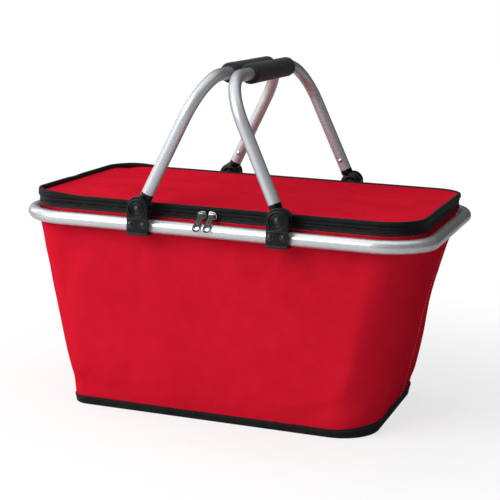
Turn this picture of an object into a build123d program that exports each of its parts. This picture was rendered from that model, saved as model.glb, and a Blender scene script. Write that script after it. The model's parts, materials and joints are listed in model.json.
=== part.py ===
from build123d import *
from math import cos, radians
import os

# Folding insulated cooler bag with an aluminium hoop and two swing handles.
# Millimetres. +X along the length, -Y is the front, +Z up.
# Origin on the floor under the middle of the bag.
# Outlines are (half length, half width, corner radius).

LAYER_GAP = 0.05              # between touching layers, and round parts that slide
OVERCUT = 1.0                 # hollowing cutters run this far past both ends

# ---- bag body -------------------------------------------------------------
WALL_TOP_Z = 231.0            # top edge of the outer fabric
BASE = (176.5, 110.5, 22.5)   # outer fabric at the floor
TOP = (223.75, 128.0, 46.0)   # outer fabric at the top edge
FABRIC_T = 1.0
FOAM_T = 4.0
LINER_T = 0.6
LINER_TURN_H = 0.8            # liner's thick top edge, covering the foam
FOAM_DROP = 0.9               # foam stops this far below the wall's top
BOTTOM_BINDING_H = 9.5
BOTTOM_BINDING_T = 1.45
FLOOR_CLEAR = 0.4             # floor parts inside the liner walls
BOARD_INSET = 0.4             # base board inside the other floor parts
BOTTOM_PANEL_T = 1.2
BASE_BOARD_T = 3.0
INNER_WALL_Z = BOTTOM_PANEL_T + 0.1                # foam and liner walls start here

# ---- lid and zip ----------------------------------------------------------
LID = (224.5, 127.0, 41.0)
LID_TOP_Z = 245.5             # top of the raised binding
LID_FABRIC_TOP_Z = 244.8
LID_FABRIC_INSET = 1.6
LID_FILL_INSET = 3.6          # foam and liner
LID_BINDING_T = 1.5
LID_BINDING_W = 5.0
LID_BINDING_H = 4.3
ZIP_INSET = 1.55              # outer face of both tapes, inside the lid's outline
TAPE_T = 1.2
COIL_T = 2.2
COIL_STEP = 0.5               # coil stands this far outside the tape
COIL_LOW_Z = (235.6, 236.9)
COIL_UP_Z = (237.7, 239.0)
ZIP_END_Y = 84.0              # the zip stops here, towards the rear
HINGE_Y = ZIP_END_Y + 3.0     # hinge strip starts here
HINGE_DROP = 0.3              # hinge strip's top below the lid binding
STOP_X = (220.6, 223.9)
STOP_Y = (ZIP_END_Y + 0.2, ZIP_END_Y + 2.6)
STOP_Z = (234.8, 237.3)
FOLD_Y = -12.0                # lid folds across here
FOLD_GAP = 0.3                # half the gap at the fold

# ---- hoop -----------------------------------------------------------------
RIM_HX, RIM_HY, RIM_R = 232.0, 138.0, 56.0         # centreline
RIM_Z = 222.0
RIM_OD, RIM_WALL = 15.0, 1.0
RIM_HALF_GAP = 0.2            # the tube's ends meet at the rear middle
SLEEVE_HALF_LEN = 30.0
SLEEVE_WALL = 1.0
RIM_RIVET_X = 18.0

# ---- rivets, screws and pins ----------------------------------------------
RIVET_R, RIVET_HEAD_R = 1.5, 2.6
SCREW_DX = 7.5                # either side of the bracket's middle
SCREW_Z = 225.0
SCREW_R = 1.5
HOLE_R = SCREW_R + LAYER_GAP  # for screws and rivets
SCREW_HEAD_R, SCREW_BUTTON_R = 2.8, 2.0
PIN_R = 2.5
PIN_BORE_R = PIN_R + LAYER_GAP
PIN_HEAD_R, PIN_BUTTON_R, PIN_INNER_HEAD_R = 3.6, 2.6, 3.4
WASHER_R = 5.2
WASHER_Y = (132.05, 133.05)

# ---- handle brackets ------------------------------------------------------
BRACKET_X = 79.5
BRACKET_HW = 12.3
BRACKET_FACE_Y = 153.0
BRACKET_PLATE_T = 5.0
BRACKET_BOTTOM_Z = 213.0
BRACKET_ARCH_Z = 243.7        # centre of the rounded top
LIP_IN_Y = 128.5
LIP_T = 1.95
LIP_TOP_Z = 229.8
PIVOT_Z = 242.5
BRACKET_RINGS = ((10.75, 9.6), (7.2, 6.1))         # raised rings: outer, inner radius
BRACKET_RING_H = 0.8
BACKING_HW = 12.0             # plates inside the liner, behind the screws
BACKING_Y = (119.7, 121.2)
BACKING_Z = (219.5, 229.5)

# ---- handles --------------------------------------------------------------
HANDLE_OD, HANDLE_WALL = 14.0, 1.0
HANDLE_LEAN = 25.33           # degrees inward from vertical at rest
HANDLE_S = 158.0              # pivot to the top bar's centreline
HANDLE_BEND_R = 52.0
ARM_Y0, ARM_SLOPE = 140.6, 0.034                   # see arm_y
ARM_START = 17.5
DISC_R = BRACKET_HW
DISC_IN_Y, DISC_OUT_Y = 134.0, 147.5
DISC_RING = (9.0, 7.6)        # outer and inner radius, on the disc's inner face
DISC_RING_H = 0.8
NECK_R = 6.9
NECK_START = 3.0
SPIGOT_R = 5.95
SPIGOT_END = 40.0
GRIP_OD = 23.0
GRIP_Y = (-58.0, 76.0)
ARM_RIVET_S = 30.0

# ---- zip sliders ----------------------------------------------------------
SLIDER_DX = 6.0               # each slider's distance from where they meet
SLIDER_MEET_X = -7.0          # they meet a little left of the middle
SLIDER_W, SLIDER_H = 10.0, 9.0
SLIDER_TOP_Z = 241.8
SLIDER_CORNER_R = 1.8
SLIDER_OUTER_Y = (-129.3, -127.9)
SLIDER_INNER_Y = (-123.2, -122.0)
SLIDER_INNER_TOP_Z = 238.6
SLIDER_INNER_RISE = 0.4       # inner plate's bottom above the outer plate's
WEB_HW = 2.5                  # web joining the two plates
WEB_Y = (-128.2, -122.9)
WEB_Z = (237.05, 237.55)
LUG_HW, LUG_HH = 1.3, 1.8
LUG_Y = (-133.1, -129.0)
PULL_PIVOT_Y, PULL_PIVOT_Z = -131.5, 239.5
PULL_ANGLE = 47.8             # degrees outward from straight down, lying over the hoop
PULL_LEN = 25.0
PULL_T = 1.4
PULL_BAR_R = 0.8
PULL_ARM_X = (1.5, 2.9)
PULL_ARM_LEN = 4.5
PULL_TAB_TOP = 3.2            # below the crossbar
PULL_END_R = 4.5
PULL_HOLE_R = 3.2
PULL_HOLE_RISE = 0.2          # hole's centre above the rounded end's

SIDES = ((1, "right"), (-1, "left"))
QUARTERS = [(x_sign, y_sign) for x_sign in (1, -1) for y_sign in (1, -1)]


# ---- saving and basic shapes ----------------------------------------------
def tidy(*shapes):
    """One plain solid, or a compound of solids."""
    solids = [solid for shape in shapes for solid in shape.solids()]
    return solids[0] if len(solids) == 1 else Compound(children=solids)


def save(node, *shapes):
    export_step(tidy(*shapes), "parts/" + node + ".step")


def inset_by(outline, inset):
    return tuple(size - inset for size in outline)


def prism(outline, inset, z0, z1):
    half_x, half_y, radius = inset_by(outline, inset)
    return extrude(Pos(0, 0, z0) * RectangleRounded(2 * half_x, 2 * half_y, radius), z1 - z0)


def ring(outline, outer_inset, inner_inset, z0, z1):
    return prism(outline, outer_inset, z0, z1) \
        - prism(outline, inner_inset, z0 - OVERCUT, z1 + OVERCUT)


def wall_corners(z, inset):
    """Corner arcs of the wall as (start, middle, end), anticlockwise from front right."""
    t = z / WALL_TOP_Z
    half_x, half_y, radius = (low + (high - low) * t - inset for low, high in zip(BASE, TOP))
    centre_x, centre_y = half_x - radius, half_y - radius
    reach = radius * cos(radians(45))
    corners = []
    for x_sign, y_sign in ((1, -1), (1, 1), (-1, 1), (-1, -1)):
        start = (x_sign * centre_x, y_sign * half_y, z)
        end = (x_sign * half_x, y_sign * centre_y, z)
        middle = (x_sign * (centre_x + reach), y_sign * (centre_y + reach), z)
        if x_sign == y_sign:
            start, end = end, start
        corners.append((start, middle, end))
    return corners


def taper(inset, z0, z1):
    """Solid with flat sloping sides and rounded corners, between two levels of the wall."""
    levels = [wall_corners(z, inset) for z in (z0, z1)]
    low, high = levels
    faces = []
    loops = [[], []]
    for i in range(4):
        n = (i + 1) % 4
        arcs = [Edge.make_three_point_arc(*level[i]) for level in levels]
        faces.append(Face.make_surface_from_curves(arcs[0], arcs[1]))
        side = (low[i][2], low[n][0], high[n][0], high[i][2])
        faces.append(Face(Wire.make_polygon(side, close=True)))
        for loop, level, arc in zip(loops, levels, arcs):
            loop += [arc, Edge.make_line(level[i][2], level[n][0])]
    return Solid(Shell(faces + [Face(Wire(loop)) for loop in loops]))


def taper_ring(outer_inset, inner_inset, z0, z1):
    return taper(outer_inset, z0, z1) - taper(inner_inset, z0 - OVERCUT, z1 + OVERCUT)


def rod(radius, start, end):
    """Cylinder between two points."""
    start, end = Vector(*start), Vector(*end)
    along = end - start
    return extrude(Plane(origin=start, z_dir=along) * Circle(radius), along.length)


def rod_x(radius, y, z, x0, x1):
    return rod(radius, (x0, y, z), (x1, y, z))


def rod_y(radius, x, z, y0, y1):
    return rod(radius, (x, y0, z), (x, y1, z))


def ring_y(outer_r, inner_r, x, z, y0, y1):
    return rod_y(outer_r, x, z, y0, y1) - rod_y(inner_r, x, z, y0 - OVERCUT, y1 + OVERCUT)


def stepped_y(x, z, *steps):
    """Rods joined along one Y axis, each given as (radius, y0, y1)."""
    body = rod_y(steps[0][0], x, z, *steps[0][1:])
    for radius, y0, y1 in steps[1:]:
        body = body + rod_y(radius, x, z, y0, y1)
    return body


def block(x0, x1, y0, y1, z0, z1):
    centre = Pos((x0 + x1) / 2, (y0 + y1) / 2, (z0 + z1) / 2)
    return centre * Box(x1 - x0, y1 - y0, z1 - z0)


def swept_tube(start, path, diameter, wall):
    return sweep(start * Circle(diameter / 2), path=path) \
        - sweep(start * Circle(diameter / 2 - wall), path=path)


def placed(shape, x_sign, y_sign):
    """Mirror a piece drawn at +x, +y into the chosen quarter."""
    if x_sign < 0:
        shape = mirror(shape, about=Plane.YZ)
    if y_sign < 0:
        shape = mirror(shape, about=Plane.XZ)
    return shape


def in_quarters(shape):
    return [placed(tidy(shape), *signs) for signs in QUARTERS]


def drill_screws(shape, y0, y1):
    """Bracket screw holes through the front and rear."""
    return shape - [rod_y(HOLE_R, x_sign * BRACKET_X + dx, SCREW_Z, y_sign * y0, y_sign * y1)
                    for x_sign, y_sign in QUARTERS for dx in (-SCREW_DX, SCREW_DX)]


# ---- body layers ----------------------------------------------------------
# Insets from the outer face of the fabric
FOAM_OUT = FABRIC_T + LAYER_GAP
FOAM_IN = FOAM_OUT + FOAM_T
LINER_OUT = FOAM_IN + LAYER_GAP
LINER_IN = LINER_OUT + LINER_T


def save_walls():
    turn_z = WALL_TOP_Z - LINER_TURN_H
    outer = taper_ring(0, FABRIC_T, 0, WALL_TOP_Z)
    foam = taper_ring(FOAM_OUT, FOAM_IN, INNER_WALL_Z, WALL_TOP_Z - FOAM_DROP)
    liner = taper_ring(LINER_OUT, LINER_IN, INNER_WALL_Z, turn_z) \
        + taper_ring(FOAM_OUT, LINER_IN, turn_z, WALL_TOP_Z)
    for node, wall in (("bag_outer_wall", outer), ("wall_insulation", foam),
                       ("inner_liner_wall", liner)):
        save(node, drill_screws(wall, 110, 135))
    # Binding tape folded round the bottom edge
    save("bottom_binding",
         taper_ring(-LAYER_GAP - BOTTOM_BINDING_T, -LAYER_GAP, 0, BOTTOM_BINDING_H))


def save_floor():
    """Floor layers, stacked upwards from z = 0; they rise inside the walls as the bag folds."""
    floor = inset_by(BASE, LINER_IN + FLOOR_CLEAR)
    z = 0.0
    for node, inset, thickness in (
        ("bottom_panel", 0, BOTTOM_PANEL_T),
        ("floor_insulation", 0, FOAM_T),
        ("base_board", BOARD_INSET, BASE_BOARD_T),
        ("floor_liner", 0, LINER_T),
    ):
        save(node, prism(floor, inset, z, z + thickness))
        z += thickness + LAYER_GAP


# ---- hoop -----------------------------------------------------------------
def rim_rod(radius, x, depth0, depth1):
    """Upright rod at the rear of the hoop, between two depths below its centreline."""
    return rod(radius, (x, RIM_HY, RIM_Z - depth0), (x, RIM_HY, RIM_Z - depth1))


def save_rim():
    with BuildLine() as line:
        FilletPolyline((RIM_HALF_GAP, RIM_HY), (RIM_HX, RIM_HY), (RIM_HX, -RIM_HY),
                       (-RIM_HX, -RIM_HY), (-RIM_HX, RIM_HY), (-RIM_HALF_GAP, RIM_HY),
                       radius=RIM_R)
    path = line.wires()[0].moved(Location((0, 0, RIM_Z)))
    start = Plane(origin=(RIM_HALF_GAP, RIM_HY, RIM_Z), z_dir=(1, 0, 0))
    tube = drill_screws(swept_tube(start, path, RIM_OD, RIM_WALL), 125, 152)

    # Sleeve inside the joint, riveted from below on both sides of the gap
    sleeve_r = RIM_OD / 2 - RIM_WALL - LAYER_GAP
    bore_end = SLEEVE_HALF_LEN + OVERCUT
    sleeve = rod_x(sleeve_r, RIM_HY, RIM_Z, -SLEEVE_HALF_LEN, SLEEVE_HALF_LEN) \
        - rod_x(sleeve_r - SLEEVE_WALL, RIM_HY, RIM_Z, -bore_end, bore_end)
    rivets = []
    for x in (-RIM_RIVET_X, RIM_RIVET_X):
        tube = tube - rim_rod(HOLE_R, x, 0, 10)
        sleeve = sleeve - rim_rod(HOLE_R, x, 0, 10)
        rivets.append(rim_rod(RIVET_R, x, 4.0, 7.6) + rim_rod(RIVET_HEAD_R, x, 7.6, 8.6))
    save("rim_tube", tube)
    save("rim_joint_sleeve", sleeve)
    save("rim_joint_rivets", *rivets)


# ---- brackets, pins, screws: drawn at rear right ----------------------------
def bracket():
    x0, x1 = BRACKET_X - BRACKET_HW, BRACKET_X + BRACKET_HW
    face_y = BRACKET_FACE_Y
    plate_y = face_y - BRACKET_PLATE_T
    plate = block(x0, x1, plate_y, face_y, BRACKET_BOTTOM_Z, BRACKET_ARCH_Z) \
        + rod_y(BRACKET_HW, BRACKET_X, BRACKET_ARCH_Z, plate_y, face_y)
    for outer_r, inner_r in BRACKET_RINGS:
        plate = plate + ring_y(outer_r, inner_r, BRACKET_X, PIVOT_Z,
                               face_y - 1, face_y + BRACKET_RING_H)
    saddle = block(x0, x1, LIP_IN_Y, plate_y + 0.5, BRACKET_BOTTOM_Z, RIM_Z)
    lip = block(x0, x1, LIP_IN_Y, LIP_IN_Y + LIP_T, RIM_Z - 1, LIP_TOP_Z)
    body = plate + saddle + lip
    body = body - rod_x(RIM_OD / 2 + LAYER_GAP, RIM_HY, RIM_Z, BRACKET_X - 20, BRACKET_X + 20)
    body = body - rod_y(PIN_BORE_R, BRACKET_X, PIVOT_Z, 140, 160)
    for dx in (-SCREW_DX, SCREW_DX):
        body = body - rod_y(HOLE_R, BRACKET_X + dx, SCREW_Z, 120, 160)
    return tidy(body)


def screw(x):
    """Screw with a stepped outer head and a flat inner head."""
    face_y, back_y = BRACKET_FACE_Y, BACKING_Y[0]
    return stepped_y(x, SCREW_Z,
                     (SCREW_R, back_y - 0.6, face_y + 0.2),
                     (SCREW_HEAD_R, face_y + 0.02, face_y + 1.0),
                     (SCREW_BUTTON_R, face_y + 0.9, face_y + 1.7),
                     (SCREW_HEAD_R, back_y - 1.6, back_y - 0.05))


def backing_plate():
    plate = block(BRACKET_X - BACKING_HW, BRACKET_X + BACKING_HW, *BACKING_Y, *BACKING_Z)
    for dx in (-SCREW_DX, SCREW_DX):
        plate = plate - rod_y(HOLE_R, BRACKET_X + dx, SCREW_Z, 115, 125)
    return plate


def pivot_pin():
    face_y = BRACKET_FACE_Y
    return stepped_y(BRACKET_X, PIVOT_Z,
                     (PIN_R, 131.3, face_y + 0.2),
                     (PIN_HEAD_R, face_y + 0.02, face_y + 0.9),
                     (PIN_BUTTON_R, face_y + 0.8, face_y + 1.5),
                     (PIN_INNER_HEAD_R, 131.2, 132.0))


def save_brackets():
    base_bracket = bracket()
    for x_sign, side in SIDES:
        for y_sign, end in ((1, "rear"), (-1, "front")):
            save("bracket_" + end + "_" + side, placed(base_bracket, x_sign, y_sign))
    save("bracket_screws", *in_quarters(screw(BRACKET_X - SCREW_DX)),
         *in_quarters(screw(BRACKET_X + SCREW_DX)))
    save("backing_plates", *in_quarters(backing_plate()))
    save("pivot_pins", *in_quarters(pivot_pin()))
    washer = ring_y(WASHER_R, PIN_BORE_R, BRACKET_X, PIVOT_Z, *WASHER_Y)
    save("pivot_washers", *in_quarters(washer))


# ---- handles: drawn upright in the plane x = 0, pivot at z = 0 --------------
def arm_y(s):
    """Distance of an arm's centreline from y = 0, at height s above the pivot."""
    return ARM_Y0 - ARM_SLOPE * s


def arm_point(y_sign, s):
    return (0, y_sign * arm_y(s), s)


def handle_tube():
    points = [arm_point(-1, ARM_START), arm_point(-1, HANDLE_S),
              arm_point(1, HANDLE_S), arm_point(1, ARM_START)]
    with BuildLine() as line:
        FilletPolyline(*points, radius=HANDLE_BEND_R)
    along = (Vector(*points[1]) - Vector(*points[0])).normalized()
    start = Plane(origin=points[0], z_dir=along)
    tube = swept_tube(start, line.wires()[0], HANDLE_OD, HANDLE_WALL)
    rivet_y = arm_y(ARM_RIVET_S)
    for y_sign in (-1, 1):
        tube = tube - rod_y(HOLE_R, 0, ARM_RIVET_S,
                            y_sign * (rivet_y - 9), y_sign * (rivet_y - 3))
    return tube


def handle_connector():
    """Rear pivot disc with a neck, and a spigot that fits inside the arm."""
    disc = rod_y(DISC_R, 0, 0, DISC_IN_Y, DISC_OUT_Y) \
        + ring_y(*DISC_RING, 0, 0, DISC_IN_Y - DISC_RING_H, DISC_IN_Y + 0.5)
    neck = rod(NECK_R, arm_point(1, NECK_START), arm_point(1, ARM_START - LAYER_GAP))
    spigot = rod(SPIGOT_R, arm_point(1, ARM_START - 2), arm_point(1, SPIGOT_END))
    body = disc + neck + spigot - rod_y(PIN_BORE_R, 0, 0, 125, 160)
    rivet_y = arm_y(ARM_RIVET_S)
    return body - rod_y(HOLE_R, 0, ARM_RIVET_S, rivet_y - 9, rivet_y - 1)


def handle_rivet():
    """Rivet on the inner side of the rear arm."""
    y = arm_y(ARM_RIVET_S)
    return stepped_y(0, ARM_RIVET_S, (RIVET_R, y - 7.3, y - 1.2),
                     (RIVET_HEAD_R, y - 8.0, y - 7.2))


def front_and_rear(shape):
    return tidy(*[placed(tidy(shape), 1, y_sign) for y_sign in (-1, 1)])


def save_handles():
    parts = {
        "tube": tidy(handle_tube()),
        "grip": tidy(ring_y(GRIP_OD / 2, HANDLE_OD / 2 + LAYER_GAP, 0, HANDLE_S, *GRIP_Y)),
        "connectors": front_and_rear(handle_connector()),
        "rivets": front_and_rear(handle_rivet()),
    }
    for x_sign, side in SIDES:
        place = Location((x_sign * BRACKET_X, 0, PIVOT_Z)) \
            * Location((0, 0, 0), (0, -x_sign * HANDLE_LEAN, 0))
        for name, part in parts.items():
            save("handle_" + name + "_" + side, part.moved(place))


# ---- lid and zip ------------------------------------------------------------
ZIP = inset_by(LID, ZIP_INSET)


def keep(y0, y1):
    """Block that keeps what lies between two y values."""
    return block(-300, 300, y0, y1, 200, 300)


def tape(z0, z1):
    return ring(ZIP, 0, TAPE_T, z0, z1)


def coil(z0, z1):
    return ring(ZIP, -COIL_STEP, COIL_T - COIL_STEP, z0, z1)


def save_lid_and_zip():
    zip_keep = keep(-300, ZIP_END_Y)
    fabric_z = LID_FABRIC_TOP_Z - FABRIC_T
    fill_top = fabric_z - LAYER_GAP
    liner_z = COIL_UP_Z[1] + LAYER_GAP
    foam_z = liner_z + LINER_T + LAYER_GAP
    binding_z = LID_TOP_Z - LID_BINDING_H
    lid_parts = {
        "fabric": prism(LID, LID_FABRIC_INSET, fabric_z, LID_FABRIC_TOP_Z),
        "insulation": prism(LID, LID_FILL_INSET, foam_z, fill_top),
        "liner": prism(LID, LID_FILL_INSET, liner_z, liner_z + LINER_T),
        "binding": ring(LID, 0, LID_BINDING_T, binding_z, LID_TOP_Z)
        + ring(LID, 0, LID_BINDING_W, LID_FABRIC_TOP_Z + LAYER_GAP, LID_TOP_Z),
        "zip_tape": tape(COIL_UP_Z[1] + LAYER_GAP, fill_top) & zip_keep,
        "zip_coil": coil(*COIL_UP_Z) & zip_keep,
    }
    front_keep = keep(-300, FOLD_Y - FOLD_GAP)
    rear_keep = keep(FOLD_Y + FOLD_GAP, 300)
    for name, shape in lid_parts.items():
        save("lid_front_" + name, shape & front_keep)
        save("lid_rear_" + name, shape & rear_keep)

    tape_z = WALL_TOP_Z + LAYER_GAP
    save("zip_tape_lower", tape(tape_z, COIL_LOW_Z[0] - LAYER_GAP) & zip_keep)
    save("zip_coil_lower", coil(*COIL_LOW_Z) & zip_keep)
    save("hinge_strip", tape(tape_z, binding_z - HINGE_DROP) & keep(HINGE_Y, 300))
    stop = tidy(block(*STOP_X, *STOP_Y, *STOP_Z))
    save("zip_end_stops", *[placed(stop, x_sign, 1) for x_sign, side in SIDES])


# ---- sliders and pulls ------------------------------------------------------
def slider(x):
    x0, x1 = x - SLIDER_W / 2, x + SLIDER_W / 2
    bottom_z = SLIDER_TOP_Z - SLIDER_H
    outer = block(x0, x1, *SLIDER_OUTER_Y, bottom_z, SLIDER_TOP_Z)
    outer = fillet(outer.edges().filter_by(Axis.Y), SLIDER_CORNER_R)
    web = block(x - WEB_HW, x + WEB_HW, *WEB_Y, *WEB_Z)
    inner = block(x0, x1, *SLIDER_INNER_Y, bottom_z + SLIDER_INNER_RISE, SLIDER_INNER_TOP_Z)
    lug = block(x - LUG_HW, x + LUG_HW, *LUG_Y, PULL_PIVOT_Z - LUG_HH, PULL_PIVOT_Z + LUG_HH)
    bore = rod_x(PULL_BAR_R + LAYER_GAP, PULL_PIVOT_Y, PULL_PIVOT_Z, x - 3, x + 3)
    return outer + web + inner + lug - bore


def pull():
    """Drawn hanging straight down from its crossbar at the origin."""
    arm_in, arm_out = PULL_ARM_X
    half_t = PULL_T / 2
    end_z = -PULL_LEN + PULL_END_R
    bar = rod_x(PULL_BAR_R, 0, 0, -arm_out, arm_out)
    arms = block(-arm_out, -arm_in, -half_t, half_t, -PULL_ARM_LEN, 0) \
        + block(arm_in, arm_out, -half_t, half_t, -PULL_ARM_LEN, 0)
    with BuildSketch(Plane.XZ) as sketch:
        with BuildLine():
            Polyline((-arm_out, -PULL_TAB_TOP), (arm_out, -PULL_TAB_TOP),
                     (PULL_END_R, end_z), (-PULL_END_R, end_z), close=True)
        make_face()
        with Locations((0, end_z)):
            Circle(PULL_END_R)
        with Locations((0, end_z + PULL_HOLE_RISE)):
            Circle(PULL_HOLE_R, mode=Mode.SUBTRACT)
    tab = extrude(sketch.sketch, half_t, both=True)
    return tidy(bar + arms + tab)


def save_sliders():
    for x_sign, side in SIDES:
        x = SLIDER_MEET_X + x_sign * SLIDER_DX
        save("zip_slider_" + side, slider(x))
        # Swing the pull out over the hoop
        place = Location((x, PULL_PIVOT_Y, PULL_PIVOT_Z)) \
            * Location((0, 0, 0), (-PULL_ANGLE, 0, 0))
        save("zip_pull_" + side, pull().moved(place))


os.makedirs("parts", exist_ok=True)
save_walls()
save_floor()
save_rim()
save_brackets()
save_handles()
save_lid_and_zip()
save_sliders()
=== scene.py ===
"""Red insulated bag on an aluminium hoop, with two swinging handles and a zipped, folding lid.

The bag stands on z = 0. Its length lies along X (right is +X), its front faces -Y, its top +Z.
Shapes are written in mm and built in metres. Corner radii run front right, rear right,
rear left, front left. Most sizes are read from the CAD pieces.
"""
import json
import math
from functools import cached_property

import bmesh
import bpy
import numpy as np
from mathutils import Matrix, Vector, noise


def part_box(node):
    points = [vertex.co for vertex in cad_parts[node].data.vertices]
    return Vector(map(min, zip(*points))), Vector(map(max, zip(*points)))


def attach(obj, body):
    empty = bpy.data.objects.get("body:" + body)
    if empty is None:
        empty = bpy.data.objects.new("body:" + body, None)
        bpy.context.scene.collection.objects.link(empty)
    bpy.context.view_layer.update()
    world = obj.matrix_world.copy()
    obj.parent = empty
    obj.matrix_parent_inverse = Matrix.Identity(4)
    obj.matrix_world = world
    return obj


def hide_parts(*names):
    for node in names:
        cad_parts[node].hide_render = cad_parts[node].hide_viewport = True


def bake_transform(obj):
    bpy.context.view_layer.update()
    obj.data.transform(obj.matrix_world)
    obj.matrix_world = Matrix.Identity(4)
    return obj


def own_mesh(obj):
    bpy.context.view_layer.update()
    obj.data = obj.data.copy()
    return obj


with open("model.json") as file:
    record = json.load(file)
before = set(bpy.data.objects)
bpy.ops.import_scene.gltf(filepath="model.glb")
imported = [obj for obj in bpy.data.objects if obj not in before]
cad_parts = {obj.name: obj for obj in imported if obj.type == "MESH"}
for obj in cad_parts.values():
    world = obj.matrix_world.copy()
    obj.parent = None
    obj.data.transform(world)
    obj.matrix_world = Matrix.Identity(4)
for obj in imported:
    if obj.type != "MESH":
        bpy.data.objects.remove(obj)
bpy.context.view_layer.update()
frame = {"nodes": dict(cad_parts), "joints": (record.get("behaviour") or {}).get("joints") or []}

scene = bpy.context.scene
PI = math.pi


# ================================================================ sizes, mm
def box_mm(node):
    low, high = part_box(node)
    return np.array(low) * 1000.0, np.array(high) * 1000.0


def z_range(node):
    low, high = box_mm(node)
    return low[2], high[2]


def joint(name):
    return next(j for j in frame["joints"] if j["name"] == name)


def joint_mm(name):
    return [value * 1000 for value in joint(name)["pos_m"]]


# hoop
low, high = box_mm("rim_tube")
HOOP_TUBE_R = (high[2] - low[2]) / 2
HOOP_Z = (high[2] + low[2]) / 2
HOOP_HALF_X, HOOP_HALF_Y = high[0] - HOOP_TUBE_R, high[1] - HOOP_TUBE_R
HOOP_CORNER_R = 56.0

# wall and base
TOP_HALF_X, TOP_HALF_Y, WALL_TOP = box_mm("bag_outer_wall")[1]
PANEL_HALF_X, PANEL_HALF_Y, _ = box_mm("bottom_panel")[1]
PANEL_TO_WALL = 6.1
BASE_HALF_X, BASE_HALF_Y = PANEL_HALF_X + PANEL_TO_WALL, PANEL_HALF_Y + PANEL_TO_WALL
RISE = joint("base_rise")["range_m"][1] * 1000
SPLIT_Z = HOOP_Z         # seam hidden behind the hoop
FOOT_Z = 12.0            # below this the wall is a piece of its own; on the bag this part moves with the base
SOFT_TOP_Z = 211.5       # the wall's rows are closer together above this

# outline of the wall's corners: z, then the four radii
WALL_CORNERS = np.array([
    (0.0, 45.0, 37.0, 26.0, 17.0),
    (40.0, 46.0, 45.0, 28.0, 20.0),
    (120.0, 47.0, 50.0, 32.0, 25.0),
    (165.0, 47.0, 44.0, 36.0, 27.0),
    (192.0, 47.0, 35.0, 37.0, 28.0),
    (212.5, 47.0, 27.0, 38.0, 28.0),
    (216.5, 47.5, 45.5, 46.0, 45.5),
    (223.0, 48.0, 46.5, 46.5, 46.5),
    (227.5, 48.0, 42.0, 46.0, 42.0),
    (231.0, 49.0, 35.0, 45.5, 36.0),
])

# lid and zip
LID_HALF_X, LID_HALF_Y, _ = box_mm("lid_rear_binding")[1]
LID_CORNERS = (50.0, 33.0, 45.0, 34.0)
FOLD_Y = joint_mm("lid_fold")[1]
low, high = box_mm("zip_tape_lower")
TAPE_LOW, TAPE_HIGH = low[2], high[2]
ZIP_END_Y = high[1]
TAPE_OUT = -1.55         # tape face, outward from the lid's outline

# brackets, pivots and handles
PIVOT_X, _, PIVOT_Z = joint_mm("handle_right_swing")
low, high = box_mm("handle_grip_right")
GRIP_R = (high[2] - low[2]) / 2
GRIP_START, GRIP_END = low[1], high[1]
grip_x, grip_z = (low[0] + high[0]) / 2, (low[2] + high[2]) / 2
LEAN = math.atan2(PIVOT_X - grip_x, grip_z - PIVOT_Z)
HANDLE_REACH = math.hypot(PIVOT_X - grip_x, grip_z - PIVOT_Z)
low, high = box_mm("bracket_rear_right")
BRACKET_INNER_Y = low[1]
BRACKET_HALF_W = (high[0] - low[0]) / 2
BRACKET_LOW, BRACKET_HIGH = low[2], high[2]
RIVET_Z = sum(z_range("bracket_screws")) / 2
RIVET_DX = 7.5           # rivets either side of the pivot line
HUBS = [(side_x, side_y) for side_x in (1, -1) for side_y in (-1, 1)]


# ================================================================ plane and field helpers
def smooth01(t):
    t = np.clip(t, 0, 1)
    return t * t * (3 - 2 * t)


def edge_fade(x, y, half_x, half_y, width_x, width_y):
    """0 at the edges of a rectangle, rising to 1 inside."""
    return smooth01((half_x - abs(x)) / width_x) * smooth01((half_y - abs(y)) / width_y)


def ripple(x, y, z, terms=((1.0, 1.0, (0, 0, 0)),)):
    """Noise at each point, summed over terms of (height, scale, offset)."""
    points = np.stack(np.broadcast_arrays(x, y, z), -1)
    total = np.zeros(points.shape[:-1])
    for at in np.ndindex(total.shape):
        point = Vector(points[at])
        total[at] = sum(height * noise.noise(point * scale + Vector(offset))
                        for height, scale, offset in terms)
    return total


def corner_radii(corners, grow=0.0):
    corners = (corners,) * 4 if np.isscalar(corners) else corners
    return tuple(r + grow for r in corners)


def rounded_rect(half_x, half_y, corners, nx=100, ny=56, nc=16):
    """Points and outward normals, counter-clockwise from the front left.

    nx, ny and nc count the points on each side along X, along Y and on each corner.
    """
    fr, rr, rl, fl = corner_radii(corners)
    # start, end, count and normal of each side, then centre and radius of the corner after it
    sides = (
        ((-half_x + fl, -half_y), (half_x - fr, -half_y), nx, (0, -1),
         (half_x - fr, -half_y + fr), fr),
        ((half_x, -half_y + fr), (half_x, half_y - rr), ny, (1, 0),
         (half_x - rr, half_y - rr), rr),
        ((half_x - rr, half_y), (-half_x + rl, half_y), nx, (0, 1),
         (-half_x + rl, half_y - rl), rl),
        ((-half_x, half_y - rl), (-half_x, -half_y + fl), ny, (-1, 0),
         (-half_x + fl, -half_y + fl), fl),
    )
    points, normals = [], []
    for quarter, (start, end, count, normal, centre, r) in enumerate(sides):
        for i in range(count):
            t = i / count
            points.append((start[0] + (end[0] - start[0]) * t, start[1] + (end[1] - start[1]) * t))
            normals.append(normal)
        for i in range(nc):
            angle = (quarter - 1) * PI / 2 + (PI / 2) * i / nc
            points.append((centre[0] + r * math.cos(angle), centre[1] + r * math.sin(angle)))
            normals.append((math.cos(angle), math.sin(angle)))
    return np.array(points), np.array(normals)


def with_z(plan, z):
    return np.column_stack([plan, np.broadcast_to(z, len(plan))])


def arc_lengths(points, closed=True):
    """Length in metres at each point, and one more value to close a ring's texture."""
    loop = np.vstack([points, points[:1]]) if closed else points
    steps = np.linalg.norm(np.diff(loop, axis=0), axis=1)
    lengths = np.concatenate([[0], np.cumsum(steps)]) * 0.001
    return lengths if closed else np.append(lengths, lengths[-1] + 0.001)


def full_turn(count):
    return np.arange(count) * 2 * PI / count


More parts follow.
